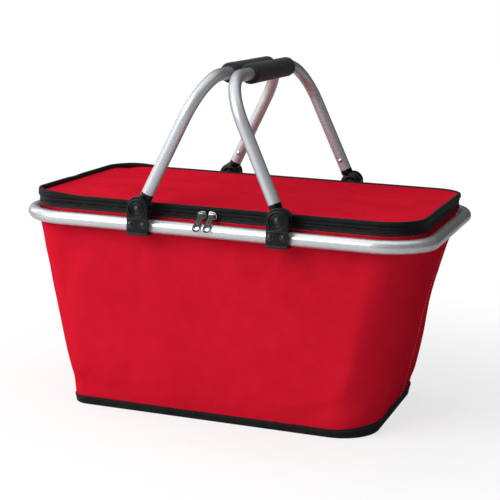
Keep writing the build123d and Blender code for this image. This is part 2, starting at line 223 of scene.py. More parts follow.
def arc(cx, cy, r, angles, ry=None):
    """Points on a circle, or on an ellipse of radii r and ry."""
    ry = r if ry is None else ry
    return [(cx + r * math.cos(a), cy + ry * math.sin(a)) for a in angles]


def round_poly(corners, r, steps=6):
    """Rounds each corner of a convex polygon."""
    out = []
    for i, corner in enumerate(corners):
        corner = np.array(corner, float)
        before = np.array(corners[i - 1], float) - corner
        after = np.array(corners[(i + 1) % len(corners)], float) - corner
        before, after = before / np.linalg.norm(before), after / np.linalg.norm(after)
        cut = r / math.tan(math.acos(max(-1, min(1, before @ after))) / 2)
        start, end = corner + before * cut, corner + after * cut
        for k in range(steps + 1):
            t = k / steps
            out.append(tuple((1 - t) ** 2 * start + 2 * t * (1 - t) * corner + t ** 2 * end))
    return out


def rectangle(half_w, low, high):
    return [(-half_w, low), (half_w, low), (half_w, high), (-half_w, high)]


def sheet_rows(half_y, corners, extra_rows):
    """Y places for the rows of a sheet, closer together round the corners."""
    big, small = max(corners), min(corners)
    rows = list(np.linspace(-(half_y - big), half_y - big, 40)) + list(extra_rows)
    for r, count in ((big, 14), (small, 9)):
        rows += [sign * (half_y - r + r * math.sin(a))
                 for sign in (-1, 1) for a in np.linspace(0.1, PI / 2, count)]
    rows = np.unique(np.round(rows, 3))
    keep = [rows[0]]
    for y in rows[1:]:
        if y - keep[-1] > 0.5 or y == rows[-1]:
            keep.append(y)
    return np.array(keep)


def half_width(y, half_x, half_y, r):
    past = abs(y) - (half_y - r)
    return half_x if past <= 0 else half_x - r + math.sqrt(max(r * r - past * past, 0))


# ================================================================ mesh building
class Surface:
    """Collects grids of points and loose faces, in mm, and makes one mesh of them."""

    def __init__(self):
        self.points, self.faces, self.uvs, self.count = [], [], [], 0

    def grid(self, points, close_u=False, close_v=False, u=None, v=None, cap=False):
        """Joins neighbouring points. cap fills the first and last rows."""
        points = np.asarray(points, float)
        nu, nv = points.shape[:2]
        base = self.count
        self.points.append(points.reshape(-1, 3))
        self.count += nu * nv
        u = np.arange(nu + 1) * 0.001 if u is None else u
        v = np.arange(nv + 1) * 0.001 if v is None else v
        for i in range(nu if close_u else nu - 1):
            row, after = base + i * nv, base + (i + 1) % nu * nv
            for j in range(nv if close_v else nv - 1):
                k = (j + 1) % nv
                self.faces.append((row + j, after + j, after + k, row + k))
                self.uvs += [u[i], v[j], u[i + 1], v[j], u[i + 1], v[j + 1], u[i], v[j + 1]]
        if cap:
            for i in (0, nu - 1):
                self.faces.append(tuple(base + i * nv + j for j in range(nv)))
                self.uvs += [0.0] * (2 * nv)
        return self

    def patch(self, points, faces, uv_axes=(0, 2)):
        """Loose faces, textured by two of their coordinates."""
        base = self.count
        self.points.append(np.asarray(points, float))
        self.count += len(points)
        for face in faces:
            self.faces.append(tuple(base + k for k in face))
            self.uvs += [points[k][axis] * 0.001 for k in face for axis in uv_axes]
        return self

    def ring(self, path, normals, profile, closed=True, outward=0.0, rise=0.0):
        """Sweeps a closed profile of (outward, z) along an outline in plan."""
        profile = np.asarray(profile, float)
        shape = (len(path), len(profile))
        offset = np.broadcast_to(profile[:, 0] + outward, shape)
        plan = path[:, None] + normals[:, None] * offset[..., None]
        points = np.dstack([plan, np.broadcast_to(profile[:, 1] + rise, shape)])
        return self.grid(points, close_u=closed, close_v=True, u=arc_lengths(path, closed),
                         v=arc_lengths(profile), cap=not closed)

    def tube(self, path, radius, segments, up):
        """Round tube along an open path, without twist; radius has a value for each point."""
        padded = np.vstack([path[:1], path, path[-1:]])
        tangent = padded[2:] - padded[:-2]
        tangent /= np.linalg.norm(tangent, axis=1, keepdims=True)
        side = np.zeros_like(path)
        previous = np.array(up, float)
        for i, along in enumerate(tangent):
            across = previous - (previous @ along) * along
            previous = side[i] = across / np.linalg.norm(across)
        other = np.cross(tangent, side)
        angle = full_turn(segments)[None, :, None]
        spokes = np.cos(angle) * side[:, None] + np.sin(angle) * other[:, None]
        v = np.arange(segments + 1) * 2 * PI * float(radius.mean()) / segments * 0.001
        return self.grid(path[:, None] + radius[:, None, None] * spokes, close_v=True,
                         u=arc_lengths(path, False), v=v, cap=True)

    def lathe(self, profile, origin, axis, segments, closed=False):
        """Turns a profile of (radius, height) about an axis."""
        axis = np.array(axis, float)
        axis /= np.linalg.norm(axis)
        helper = np.array((0, 0, 1.0)) if abs(axis[2]) < 0.9 else np.array((1.0, 0, 0))
        first = np.cross(axis, helper)
        first /= np.linalg.norm(first)
        second = np.cross(axis, first)
        profile = np.asarray(profile, float)
        angle = full_turn(segments)[:, None]
        spokes = np.cos(angle) * first + np.sin(angle) * second
        points = (np.asarray(origin, float) + spokes[:, None] * profile[None, :, 0, None]
                  + axis * profile[None, :, 1, None])
        u = np.arange(segments + 1) * 2 * PI * profile[:, 0].max() / segments * 0.001
        return self.grid(points, close_u=True, close_v=closed, u=u, v=arc_lengths(profile))

    def stitches(self, line, normals, pitch, length, radius, lift, closed=True):
        """Thread stitches along a line of points, their ends sunk into the cloth."""
        if closed:
            line, normals = np.vstack([line, line[:1]]), np.vstack([normals, normals[:1]])
        steps = np.linalg.norm(np.diff(line, axis=0), axis=1)
        reach = np.concatenate([[0], np.cumsum(steps)])
        count = int(reach[-1] / pitch)
        middle = (np.arange(count) + 0.5) * reach[-1] / count

        def sample(values, at):
            return np.stack([np.interp(at, reach, values[:, k]) for k in range(3)], -1)

        centres, outs = sample(line, middle), sample(normals, middle)
        spans = sample(line, middle + length / 2) - sample(line, middle - length / 2)
        # relative thickness, place along the stitch
        stations = [(0.5, -0.5), (1.0, -0.36), (1.05, 0.0), (1.0, 0.36), (0.5, 0.5)]
        angle = full_turn(6)[:, None]
        for centre, out, span in zip(centres, outs, spans):
            span_length = np.linalg.norm(span)
            along = span / span_length
            out = out - (out @ along) * along
            out /= np.linalg.norm(out)
            spokes = np.cos(angle) * out + np.sin(angle) * np.cross(along, out)
            rows = []
            for size, place in stations:
                sink = lift - radius * 0.9 * (abs(place) * 2) ** 3
                rows.append(centre + along * span_length * place + out * sink
                            + spokes * radius * size)
            self.grid(rows, close_v=True, cap=True)
        return self

    def sheet(self, half_x, half_y, corners, top, bottom, extra_rows=(), nx=90):
        """Closed sheet filling a rounded rectangle; top(x, y) and bottom(x, y) give z."""
        fr, rr, rl, fl = corners
        rows = sheet_rows(half_y, corners, extra_rows)
        s = np.linspace(-1, 1, nx)
        s = np.sign(s) * (1 - (1 - abs(s)) ** 1.25)      # columns gather at the ends
        x = []
        for y in rows:
            left = -half_width(y, half_x, half_y, fl if y < 0 else rl)
            right = half_width(y, half_x, half_y, fr if y < 0 else rr)
            x.append((left + right) / 2 + s * (right - left) / 2)
        x = np.stack(x)
        y = np.repeat(rows[:, None], nx, 1)
        points = np.concatenate([np.dstack([x, y, face(x, y) + 0 * x]).reshape(-1, 3)
                                 for face in (top, bottom)])
        ny, under = len(rows), len(rows) * nx
        faces = []
        for i in range(ny - 1):
            for j in range(nx - 1):
                a = i * nx + j
                b, c, d = a + 1, a + nx + 1, a + nx
                faces += [(a, b, c, d), (under + a, under + d, under + c, under + b)]
        ids = np.arange(under).reshape(ny, nx)
        rim = np.concatenate([ids[0], ids[1:, -1], ids[-1, -2::-1], ids[-2:0:-1, 0]]).tolist()
        faces += [(a, under + a, under + b, b) for a, b in zip(rim, rim[1:] + rim[:1])]
        return self.patch(points, faces, uv_axes=(0, 1))

    def plate(self, outline, thick, bevel, place, holes=(), resolution=3):
        """Flat plate with rounded edges. place() moves its points from the XY plane."""
        curve = bpy.data.curves.new("tmp_plate", "CURVE")
        curve.dimensions = "2D"
        curve.fill_mode = "BOTH"
        for loop in [outline, *holes]:
            spline = curve.splines.new("POLY")
            spline.points.add(len(loop) - 1)
            for point, (x, y) in zip(spline.points, loop):
                point.co = (x, y, 0, 1)
            spline.use_cyclic_u = True
        curve.extrude = thick / 2 - bevel
        curve.bevel_depth = bevel
        curve.bevel_resolution = resolution
        curve.offset = -bevel
        holder = bpy.data.objects.new("tmp_plate", curve)
        scene.collection.objects.link(holder)
        graph = bpy.context.evaluated_depsgraph_get()
        mesh = bpy.data.meshes.new_from_object(holder.evaluated_get(graph))
        bm = bmesh.new()
        bm.from_mesh(mesh)
        bmesh.ops.remove_doubles(bm, verts=bm.verts, dist=1e-4)
        bm.to_mesh(mesh)
        bm.free()
        points = np.array([tuple(vertex.co) for vertex in mesh.vertices])
        faces = [tuple(polygon.vertices) for polygon in mesh.polygons]
        bpy.data.objects.remove(holder)
        bpy.data.curves.remove(curve)
        bpy.data.meshes.remove(mesh)
        return self.patch(place(points), faces)

    def build(self, name, material, angle=None):
        """Makes the object. Edges sharper than angle, in degrees, stay crisp."""
        mesh = bpy.data.meshes.new(name)
        mesh.from_pydata((np.concatenate(self.points) * 0.001).tolist(), [], self.faces)
        mesh.uv_layers.new(name="weave").data.foreach_set("uv", self.uvs)
        mesh.materials.append(material)
        bm = bmesh.new()
        bm.from_mesh(mesh)
        bmesh.ops.remove_doubles(bm, verts=bm.verts, dist=2e-6)
        bmesh.ops.dissolve_degenerate(bm, edges=bm.edges, dist=1e-7)
        bmesh.ops.recalc_face_normals(bm, faces=bm.faces)
        bm.to_mesh(mesh)
        bm.free()
        mesh.polygons.foreach_set("use_smooth", [True] * len(mesh.polygons))
        if angle is not None:
            mesh.set_sharp_from_angle(angle=math.radians(angle))
        mesh.update()
        made = bpy.data.objects.new(name, mesh)
        scene.collection.objects.link(made)
        return made

    def piece(self, name, material, slot, body=None, replaces=(), blend=None, fold=None,
              angle=None):
        """Makes the object and says which body it follows and which CAD nodes it replaces."""
        made = self.build(name, material, angle)
        if blend:
            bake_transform(made)
        if body:
            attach(made, body)
        if replaces:
            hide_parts(*replaces)
        if fold:
            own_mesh(made)
        return made


def facing(x0, side_y, depth, z0=0.0):
    """Stands a plate upright, facing side_y, its middle at the given depth from y = 0."""
    def place(points):
        return np.column_stack([x0 + points[:, 0], side_y * (points[:, 2] + depth),
                                z0 + points[:, 1]])
    return place


# ================================================================ material helpers
def rgba(colour, gain=1.0, lift=0.0):
    """Colour with alpha, each channel times gain plus lift."""
    gains = (gain,) * 3 if np.isscalar(gain) else gain
    return (*(channel * g + lift for channel, g in zip(colour, gains)), 1.0)


class Nodes:
    """A node tree, emptied and ready to fill."""

    def __init__(self, tree):
        self.tree = tree
        tree.nodes.clear()

    def new(self, kind, inputs=None, **settings):
        node = self.tree.nodes.new(kind)
        for key, value in settings.items():
            setattr(node, key, value)
        for key, value in (inputs or {}).items():
            self.put(node.inputs[key], value)
        return node

    def put(self, socket, value):
        if isinstance(value, bpy.types.NodeSocket):
            self.tree.links.new(value, socket)
        else:
            socket.default_value = value

    def mix_shader(self, factor, first, second):
        return self.new("ShaderNodeMixShader", {0: factor, 1: first, 2: second}).outputs[0]


class Material(Nodes):
    SOCKETS = {"base": "Base Color", "rough": "Roughness", "metal": "Metallic",
               "sheen": "Sheen Weight", "sheen_rough": "Sheen Roughness",
               "sheen_tint": "Sheen Tint", "spec": "Specular IOR Level", "normal": "Normal"}

    def __init__(self, name):
        self.material = bpy.data.materials.new(name)
        self.material.use_nodes = True
        super().__init__(self.material.node_tree)
        self.out = self.new("ShaderNodeOutputMaterial")
        self.surface = self.new("ShaderNodeBsdfPrincipled")
        self.put(self.out.inputs[0], self.surface.outputs[0])

    def set(self, **values):
        for key, value in values.items():
            self.put(self.surface.inputs[self.SOCKETS[key]], value)
        return self.material

    @cached_property
    def uv(self):
        return self.new("ShaderNodeUVMap", uv_map="weave").outputs[0]

    @cached_property
    def ob(self):
        return self.new("ShaderNodeTexCoord").outputs["Object"]

    def uv_xy(self):
        split = self.new("ShaderNodeSeparateXYZ", {0: self.uv})
        return split.outputs[0], split.outputs[1]

    def math(self, operation, a, b=0.0):
        return self.new("ShaderNodeMath", {0: a, 1: b}, operation=operation).outputs[0]

    def times(self, a, b):
        return self.math("MULTIPLY", a, b)

    def plus(self, a, b):
        return self.math("ADD", a, b)

    def wave(self, value, pitch):
        return self.math("SINE", self.times(value, PI / pitch))

    def ribs(self, value, pitch):
        return self.math("ABSOLUTE", self.wave(value, pitch))

    def stretch(self, vector, factors):
        return self.new("ShaderNodeVectorMath", {0: vector, 1: factors},
                        operation="MULTIPLY").outputs[0]

    def noise(self, vector, scale, detail=2.0, rough=0.5, distortion=0.0):
        return self.new("ShaderNodeTexNoise", {
            "Vector": vector, "Scale": scale, "Detail": detail, "Roughness": rough,
            "Distortion": distortion}).outputs[0]

    def voronoi(self, vector, scale):
        return self.new("ShaderNodeTexVoronoi", {"Vector": vector, "Scale": scale},
                        feature="F1").outputs["Distance"]

    def remap(self, value, span=(0.3, 0.7), to=(0.0, 1.0)):
        """Maps span onto to. The default span is where most noise values lie."""
        return self.new("ShaderNodeMapRange", {
            0: value, 1: span[0], 2: span[1], 3: to[0], 4: to[1]}).outputs[0]

    def mix(self, factor, a, b):
        return self.new("ShaderNodeMix", {0: factor, 6: a, 7: b}, data_type="RGBA",
                        blend_type="MIX").outputs[2]

    def bump(self, height, strength, distance, normal=None):
        inputs = {"Strength": strength, "Distance": distance, "Height": height}
        if normal is not None:
            inputs["Normal"] = normal
        return self.new("ShaderNodeBump", inputs).outputs[0]

    def edge(self, radius):
        """1 on edges, for worn edges and, on moulded plastic, a painted highlight too."""
        bevel = self.new("ShaderNodeBevel", {"Radius": radius}, samples=4)
        geometry = self.new("ShaderNodeNewGeometry")
        dot = self.new("ShaderNodeVectorMath", {0: bevel.outputs[0],
                       1: geometry.outputs["Normal"]}, operation="DOT_PRODUCT")
        return self.remap(dot.outputs["Value"], span=(0.995, 0.86))


def plain_weave(m, pitch):
    """Height of a plain weave; pitch in metres."""
    x, y = m.uv_xy()
    wave_u, wave_v = m.wave(x, pitch), m.wave(y, pitch)
    over = m.math("GREATER_THAN", m.times(m.wave(x, pitch), wave_v), 0.0)
    u, v = m.math("ABSOLUTE", wave_u), m.math("ABSOLUTE", wave_v)
    warp = m.times(m.times(u, m.math("POWER", v, 0.4)), over)
    weft = m.times(m.times(v, m.math("POWER", u, 0.4)), m.math("SUBTRACT", 1.0, over))
    return m.plus(warp, weft)


def polyester(name, dark, light, rough):
    m = Material(name)
    weave = plain_weave(m, pitch=0.00075)
    broad = m.noise(m.ob, scale=9.0, detail=3.0, rough=0.55)
    mid = m.noise(m.ob, scale=70.0, detail=3.0, rough=0.6)
    yarn_u = m.noise(m.stretch(m.uv, factors=(1200.0, 40.0, 1.0)), scale=1.0)
    yarn_v = m.noise(m.stretch(m.uv, factors=(40.0, 1200.0, 1.0)), scale=1.0)
    yarn = m.times(m.plus(yarn_u, yarn_v), 0.5)
    # shares of the broad, middle and yarn patterns in the tone
    broad_share, mid_share, yarn_share, gap_share = 0.45, 0.25, 0.3, 0.22
    tone = m.plus(m.times(m.remap(broad), broad_share), m.times(m.remap(mid), mid_share))
    tone = m.plus(tone, m.times(m.remap(yarn, span=(0.35, 0.65)), yarn_share))
    colour = m.mix(tone, rgba(dark), rgba(light))
    gaps = m.times(m.math("SUBTRACT", 1.0, weave), gap_share)
    colour = m.mix(gaps, colour, rgba(dark, gain=(0.35, 0.3, 0.3)))
    scuff = m.noise(m.stretch(m.ob, factors=(1.0, 1.0, 2.2)), scale=38.0, detail=6.0, rough=0.7)
    colour = m.mix(m.remap(scuff, span=(0.62, 0.8), to=(0.0, 0.25)), colour,
                   rgba(light, gain=(1.12, 1.5, 1.4)))
    slow = m.bump(m.noise(m.ob, scale=26.0, detail=3.0), strength=0.25, distance=0.004)
    fine = m.bump(m.noise(m.ob, scale=160.0, detail=3.0, rough=0.6), strength=0.18,
                  distance=0.0012, normal=slow)
    return m.set(
        base=colour,
        rough=m.remap(m.plus(mid, yarn), span=(0.7, 1.3), to=(rough + 0.06, rough - 0.05)),
        normal=m.bump(weave, strength=0.5, distance=0.00022, normal=fine),
        sheen=0.004, sheen_rough=0.4, sheen_tint=rgba((1.0, 0.03, 0.06)), spec=0.0)


def webbing(name, base, rib=0.0011, rough=0.62):
    """Ribbed tape: ribs run across it."""
    m = Material(name)
    x, y = m.uv_xy()
    ribs, across = m.ribs(x, pitch=rib), m.ribs(y, pitch=0.0006)
    rib_height, across_height, rib_tone = 0.8, 0.25, 0.3
    height = m.plus(m.times(ribs, rib_height), m.times(across, across_height))
    cloudy = m.noise(m.ob, scale=120.0, detail=4.0, rough=0.6)
    colour = m.mix(m.remap(cloudy, span=(0.35, 0.65)), rgba(base),
                   rgba(base, gain=2.1, lift=0.004))
    colour = m.mix(m.times(ribs, rib_tone), colour, rgba(base, gain=2.6, lift=0.004))
    fuzz = m.bump(m.noise(m.ob, scale=900.0), strength=0.25, distance=0.0002)
    return m.set(base=colour, rough=m.remap(cloudy, to=(rough - 0.06, rough + 0.08)),
                 normal=m.bump(height, strength=0.6, distance=0.0003, normal=fuzz),
                 sheen=0.006, sheen_rough=0.5, spec=0.09)


def aluminium(name, base, rough, metal, spec):
    m = Material(name)
    lines = m.noise(m.stretch(m.uv, factors=(2.0, 700.0, 1.0)), scale=1.0, detail=3.0, rough=0.6)
    smudge = m.noise(m.ob, scale=22.0, detail=3.0, rough=0.55)
    scratch = m.remap(m.noise(m.stretch(m.uv, factors=(25.0, 900.0, 1.0)), scale=1.0),
                      span=(0.66, 0.78))
    scratch_tone, line_rough = 0.08, 0.03
    colour = m.mix(m.remap(smudge), rgba(base), rgba(base, gain=0.9))
    colour = m.mix(m.times(scratch, scratch_tone), colour, rgba((0.5, 0.51, 0.53)))
    # painted shade: the colour darkens where the tube turns away from the view, standing in for
    # dark reflections along its edges
    painted_edge_shade = m.new("ShaderNodeLayerWeight", {"Blend": 0.5}).outputs["Facing"]
    colour = m.mix(m.remap(painted_edge_shade, span=(0.25, 0.95)), colour, rgba(base, gain=0.34))
    roughness = m.plus(m.remap(smudge, to=(rough - 0.03, rough + 0.05)),
                       m.times(m.remap(lines, to=(-0.5, 0.5)), line_rough))
    dents = m.bump(m.noise(m.ob, scale=14.0), strength=0.03, distance=0.0006)
    return m.set(base=colour, rough=roughness, metal=metal, normal=dents, spec=spec)


def moulded(name, base, rough, edge_lightening, grain=2600.0):
    m = Material(name)
    grains = m.noise(m.ob, scale=grain)
    broad = m.noise(m.ob, scale=60.0, detail=3.0, rough=0.6)
    colour = m.mix(m.remap(broad), rgba(base), rgba(base, gain=1.7, lift=0.003))
    # lighter edges: partly worn edges, partly a painted highlight that brings out the pivot ring
    # crests and the bracket edges
    colour = m.mix(m.times(m.edge(radius=0.0007), edge_lightening), colour,
                   rgba(base, gain=4.0, lift=0.10))
    return m.set(base=colour, rough=m.remap(broad, to=(rough - 0.04, rough + 0.06)),
                 normal=m.bump(grains, strength=0.08, distance=0.00006), spec=0.15)


def foam(name, base):
    m = Material(name)
    cells = m.voronoi(m.ob, scale=1500.0)
    cloudy = m.noise(m.ob, scale=90.0, detail=4.0, rough=0.6)
    colour = m.mix(m.remap(cloudy), rgba(base), rgba(base, gain=1.9, lift=0.004))
    colour = m.mix(m.remap(cells, span=(0.0, 0.5), to=(0.5, 0.0)), colour, rgba(base, gain=0.4))
    lumps = m.bump(m.noise(m.ob, scale=200.0, detail=3.0), strength=0.3, distance=0.0006)
    return m.set(base=colour, rough=m.remap(cloudy, to=(0.62, 0.8)),
                 normal=m.bump(cells, strength=0.5, distance=0.0002, normal=lumps),
                 sheen=0.03, sheen_rough=0.6, spec=0.22)


def metal(name, base, rough, edge_lightening=(0.8, 0.8, 0.8), amount=0.3, metal=1.0):
    """wear is the colour of worn edges, amount how much of it shows."""
    m = Material(name)
    grain = m.noise(m.ob, scale=420.0, detail=4.0, rough=0.65)
    streaks = m.remap(m.noise(m.stretch(m.ob, factors=(1.0, 1.0, 9.0)), scale=900.0, detail=3.0,
                              rough=0.6), span=(0.55, 0.75))
    streak_rough = 0.08
    colour = m.mix(m.times(m.edge(radius=0.0005), amount), rgba(base), rgba(edge_lightening))
    return m.set(base=colour,
                 rough=m.plus(m.remap(grain, to=(rough - 0.05, rough + 0.08)),
                              m.times(streaks, streak_rough)),
                 metal=metal, normal=m.bump(grain, strength=0.12, distance=0.00008))


def foil(name):
    m = Material(name)
    crumple = m.noise(m.ob, scale=55.0, detail=5.0, rough=0.65, distortion=0.6)
    facets = m.voronoi(m.ob, scale=110.0)
    x, y = m.uv_xy()
    dots = m.times(m.wave(x, pitch=0.0042), m.wave(y, pitch=0.0042))
    normal = m.bump(crumple, strength=0.55, distance=0.003)
    normal = m.bump(facets, strength=0.3, distance=0.0012, normal=normal)
    normal = m.bump(dots, strength=0.3, distance=0.0003, normal=normal)
    colour = m.mix(m.remap(crumple), rgba((0.62, 0.63, 0.65)), rgba((0.8, 0.81, 0.83)))
    return m.set(base=colour, rough=m.remap(crumple, to=(0.26, 0.4)), metal=0.85, normal=normal)


def board(name, base):
    m = Material(name)
    grain = m.noise(m.stretch(m.ob, factors=(1.0, 6.0, 1.0)), scale=60.0, detail=5.0, rough=0.6)
    return m.set(base=m.mix(m.remap(grain), rgba(base), rgba(base, gain=1.5)), rough=0.6,
                 normal=m.bump(grain, strength=0.3, distance=0.0005))


RED = polyester("red_polyester", dark=(0.50, 0.0065, 0.019), light=(0.64, 0.0115, 0.031),
                rough=0.5)
RED_UNDER = polyester("red_polyester_under", dark=(0.40, 0.004, 0.012),
                      light=(0.52, 0.006, 0.020), rough=0.6)
BLACK_TAPE = webbing("black_binding", base=(0.0028, 0.0028, 0.0032))
ZIP_TAPE = webbing("black_zip_tape", base=(0.0062, 0.0062, 0.0072), rib=0.0016, rough=0.55)
COIL = moulded("black_coil", base=(0.006, 0.006, 0.007), rough=0.3, edge_lightening=0.25, grain=1800.0)
ALU = aluminium("satin_aluminium", base=(0.47, 0.487, 0.505), rough=0.33, metal=0.3, spec=0.7)
ALU_HOOP = aluminium("hoop_aluminium", base=(0.50, 0.505, 0.52), rough=0.27, metal=0.4, spec=1.0)
# strong edge lightening: painted highlight on the pivot rings and bracket edges, partly worn edges
PLASTIC = moulded("black_moulded", base=(0.0016, 0.0016, 0.0019), rough=0.21, edge_lightening=0.8)
FOAM = foam("black_foam", base=(0.0085, 0.0085, 0.0095))
NICKEL = metal("bright_nickel", base=(0.74, 0.72, 0.69), rough=0.2, edge_lightening=(0.85, 0.83, 0.8),
               amount=0.4)
NICKEL_DULL = metal("dull_nickel", base=(0.30, 0.29, 0.29), rough=0.3, edge_lightening=(0.6, 0.58, 0.56),
                    amount=0.45)
GUNMETAL = metal("dark_pull", base=(0.030, 0.030, 0.034), rough=0.3, edge_lightening=(0.45, 0.44, 0.44),
                 amount=0.5)
STEEL = metal("plain_steel", base=(0.6, 0.59, 0.58), rough=0.3)
DARK_STEEL = metal("dark_fastener", base=(0.020, 0.017, 0.017), rough=0.3,
                   edge_lightening=(0.10, 0.08, 0.08), amount=0.35, metal=0.5)
FOIL = foil("silver_foil")
BOARD = board("base_board_plastic", base=(0.10, 0.10, 0.105))
THREAD_BLACK = webbing("black_thread", base=(0.02, 0.02, 0.022), rib=0.0004)
THREAD_RED = webbing("red_thread", base=(0.56, 0.10, 0.11), rib=0.0004)


# ================================================================ shape of the wall fabric
def drape(sheet, normals, pins, slack, frames, cap, bending, seed, unevenness):
    """Lets a closed band settle as cloth, held where pins is 1. Returns capped movements."""
    nu, nv = sheet.shape[:2]
    metres = sheet * 0.001
    bumps = ripple(metres[..., 0] * 14 + seed, metres[..., 1] * 14, metres[..., 2] * 11)
    start = sheet + normals * unevenness * (1 - pins)[..., None] * bumps[..., None]
    faces = []
    for i in range(nu):
        row, after = i * nv, (i + 1) % nu * nv
        faces += [(row + j, after + j, after + j + 1, row + j + 1) for j in range(nv - 1)]
    mesh = bpy.data.meshes.new("tmp_cloth")
    mesh.from_pydata((start.reshape(-1, 3) * 0.001).tolist(), [], faces)
    cloth = bpy.data.objects.new("tmp_cloth", mesh)
    scene.collection.objects.link(cloth)
    group = cloth.vertex_groups.new(name="pin")
    weights = pins.reshape(-1)
    for k in np.nonzero(weights > 0.001)[0]:
        group.add([int(k)], float(weights[k]), "REPLACE")
    modifier = cloth.modifiers.new("cloth", "CLOTH")
    settings = modifier.settings
    settings.quality = 6
    settings.mass = 0.3
    settings.tension_stiffness = 25
    settings.compression_stiffness = 25
    settings.shear_stiffness = 8
    settings.bending_stiffness = bending
    settings.tension_damping = settings.compression_damping = settings.shear_damping = 20
    settings.air_damping = 2.0
    settings.shrink_min = -slack
    settings.vertex_group_mass = "pin"
    settings.pin_stiffness = 1.0
    settings.effector_weights.gravity = 0.15
    modifier.collision_settings.use_collision = False
    modifier.point_cache.frame_start = 1
    modifier.point_cache.frame_end = frames
    for f in range(1, frames + 1):
        scene.frame_set(f)
    settled = cloth.evaluated_get(bpy.context.evaluated_depsgraph_get())
    result = settled.to_mesh()
    places = np.zeros(len(result.vertices) * 3)
    result.vertices.foreach_get("co", places)
    moved = places.reshape(nu, nv, 3) * 1000 - sheet
    settled.to_mesh_clear()
    bpy.data.objects.remove(cloth)
    bpy.data.meshes.remove(mesh)
    scene.frame_set(1)
    if not np.isfinite(moved).all():     # guards against a simulation that blew up
        return np.zeros_like(moved)
    distance = np.linalg.norm(moved, axis=2, keepdims=True)
    return moved * np.minimum(1.0, cap / np.maximum(distance, 1e-9))


def wall_dims(z):
    """Half sizes and corner radii of the wall at a height."""
    t = z / WALL_TOP
    corners = tuple(float(np.interp(z, WALL_CORNERS[:, 0], WALL_CORNERS[:, k]))
                    for k in range(1, 5))
    return (BASE_HALF_X + (TOP_HALF_X - BASE_HALF_X) * t,
            BASE_HALF_Y + (TOP_HALF_Y - BASE_HALF_Y) * t, corners)


def wall_sheet(heights, **counts):
    """Points and outward normals on the (around, up) grid."""
    rows = [rounded_rect(*wall_dims(z), **counts) for z in heights]
    points = np.stack([with_z(plan, z) for (plan, _), z in zip(rows, heights)], 1)
    normals = np.stack([with_z(normal, 0.0) for _, normal in rows], 1)
    return points, normals


WALL_NX, WALL_NY, WALL_NC = 100, 56, 16
WALL_COUNTS = dict(nx=WALL_NX, ny=WALL_NY, nc=WALL_NC)
ROW_Z = np.concatenate([
    np.linspace(0, FOOT_Z, 5), np.linspace(FOOT_Z, SOFT_TOP_Z, 54)[1:],
    np.linspace(SOFT_TOP_Z, SPLIT_Z, 9)[1:], np.linspace(SPLIT_Z, WALL_TOP - 0.1, 6)[1:]])
FOOT_ROW = 4
SPLIT_ROW = int(np.argmin(abs(ROW_Z - SPLIT_Z)))
WALL, WALL_NORMALS = wall_sheet(ROW_Z, **WALL_COUNTS)
WALL_X, WALL_Y, WALL_Z = WALL[..., 0], WALL[..., 1], WALL[..., 2]
# 1 where the fabric hangs free, 0 at its foot and behind the hoop
FREE = smooth01(WALL_Z / 26.0) * smooth01((SPLIT_Z - 8 - WALL_Z) / 34.0)


def wall_field():
    """Modelled outward displacement of the fabric, mm."""
    x, y, z = WALL_X, WALL_Y, WALL_Z
    nx, ny = WALL_NORMALS[..., 0], WALL_NORMALS[..., 1]
    # the walls hang in a hollow, most of all on the right end towards its rear
    hollow = np.exp(-((z - 140) / 62.0) ** 2)
    field = -4.2 * np.clip(nx, 0, 1) * hollow * (0.35 + 0.85 * smooth01((y + 60) / 150.0))
    field -= 0.5 * np.clip(-nx, 0, 1) ** 2 * hollow
    field -= 1.6 * np.clip(ny, 0, 1) ** 2 * hollow * (1 - (x / 260) ** 2)
    # a swelling and a hollow on the front: height, x and its width, z and its width
    for height, x_mid, x_width, z_mid, z_width in ((1.3, -40, 120.0, 95, 70.0),
                                                   (-0.9, 95, 60.0, 130, 60.0)):
        field += height * np.clip(-ny, 0, 1) ** 2 * np.exp(
            -((x - x_mid) / x_width) ** 2 - ((z - z_mid) / z_width) ** 2)
    # slow waves
    field += ripple(x * 0.011, y * 0.011, z * 0.013,
                    ((1.9, 1.0, (3.1, 7.7, 1.3)), (0.6, 2.6, (9.2, 0.4, 5.5))))
    # pull lines fanning down from each bracket
    for side_x, side_y in HUBS:
        side = np.clip(ny * side_y, 0, 1) ** 2
        dx, dz = x - side_x * PIVOT_X, (BRACKET_LOW - 2) - z
        reach = np.hypot(dx, dz) + 1e-6
        angle = np.arctan2(dx, dz)
        field += (side * 0.75 * np.cos(angle * 7.0 + side_x) * np.exp(-reach / 42.0)
                  * smooth01(reach / 14.0) * np.exp(-(angle / 1.25) ** 4))
    return field * FREE


def wall_slack():
    """Simulated outward displacement, found on a half-density band, mm."""
    heights = np.linspace(0, SPLIT_Z, 36)
    band, normals = wall_sheet(heights, nx=WALL_NX // 2, ny=WALL_NY // 2, nc=WALL_NC // 2)
    z = band[..., 2]
    pins = np.maximum(1 - smooth01((z - 8) / 16.0), smooth01((z - (SPLIT_Z - 22)) / 14.0))
    moved = drape(band, normals, pins, slack=0.010, frames=22, cap=4.0, bending=2.2, seed=2.0,
                  unevenness=0.8)
    outward = (moved * normals).sum(2)
    for _ in range(2):                   # light smoothing round and up
        outward = (np.roll(outward, 1, 0) + np.roll(outward, -1, 0) + 2 * outward) / 4
        outward[:, 1:-1] = (outward[:, :-2] + outward[:, 2:] + 2 * outward[:, 1:-1]) / 4
    coarse = np.stack([np.interp(ROW_Z, heights, column) for column in outward])
    full = np.zeros(WALL.shape[:2])
    full[0::2] = coarse
    full[1::2] = (coarse + np.roll(coarse, -1, 0)) / 2
    return np.clip(full * FREE, -3.0, 2.2)


field = wall_field()
field = field + wall_slack()
BULGE = np.clip(field, -6.2, 2.4)        # outward shape of the fabric


# ================================================================ wall and liner
def squash_to(anchor, keep):
    return dict(axis=(0, 0, 1), anchor=(0, 0, anchor), keep=keep)
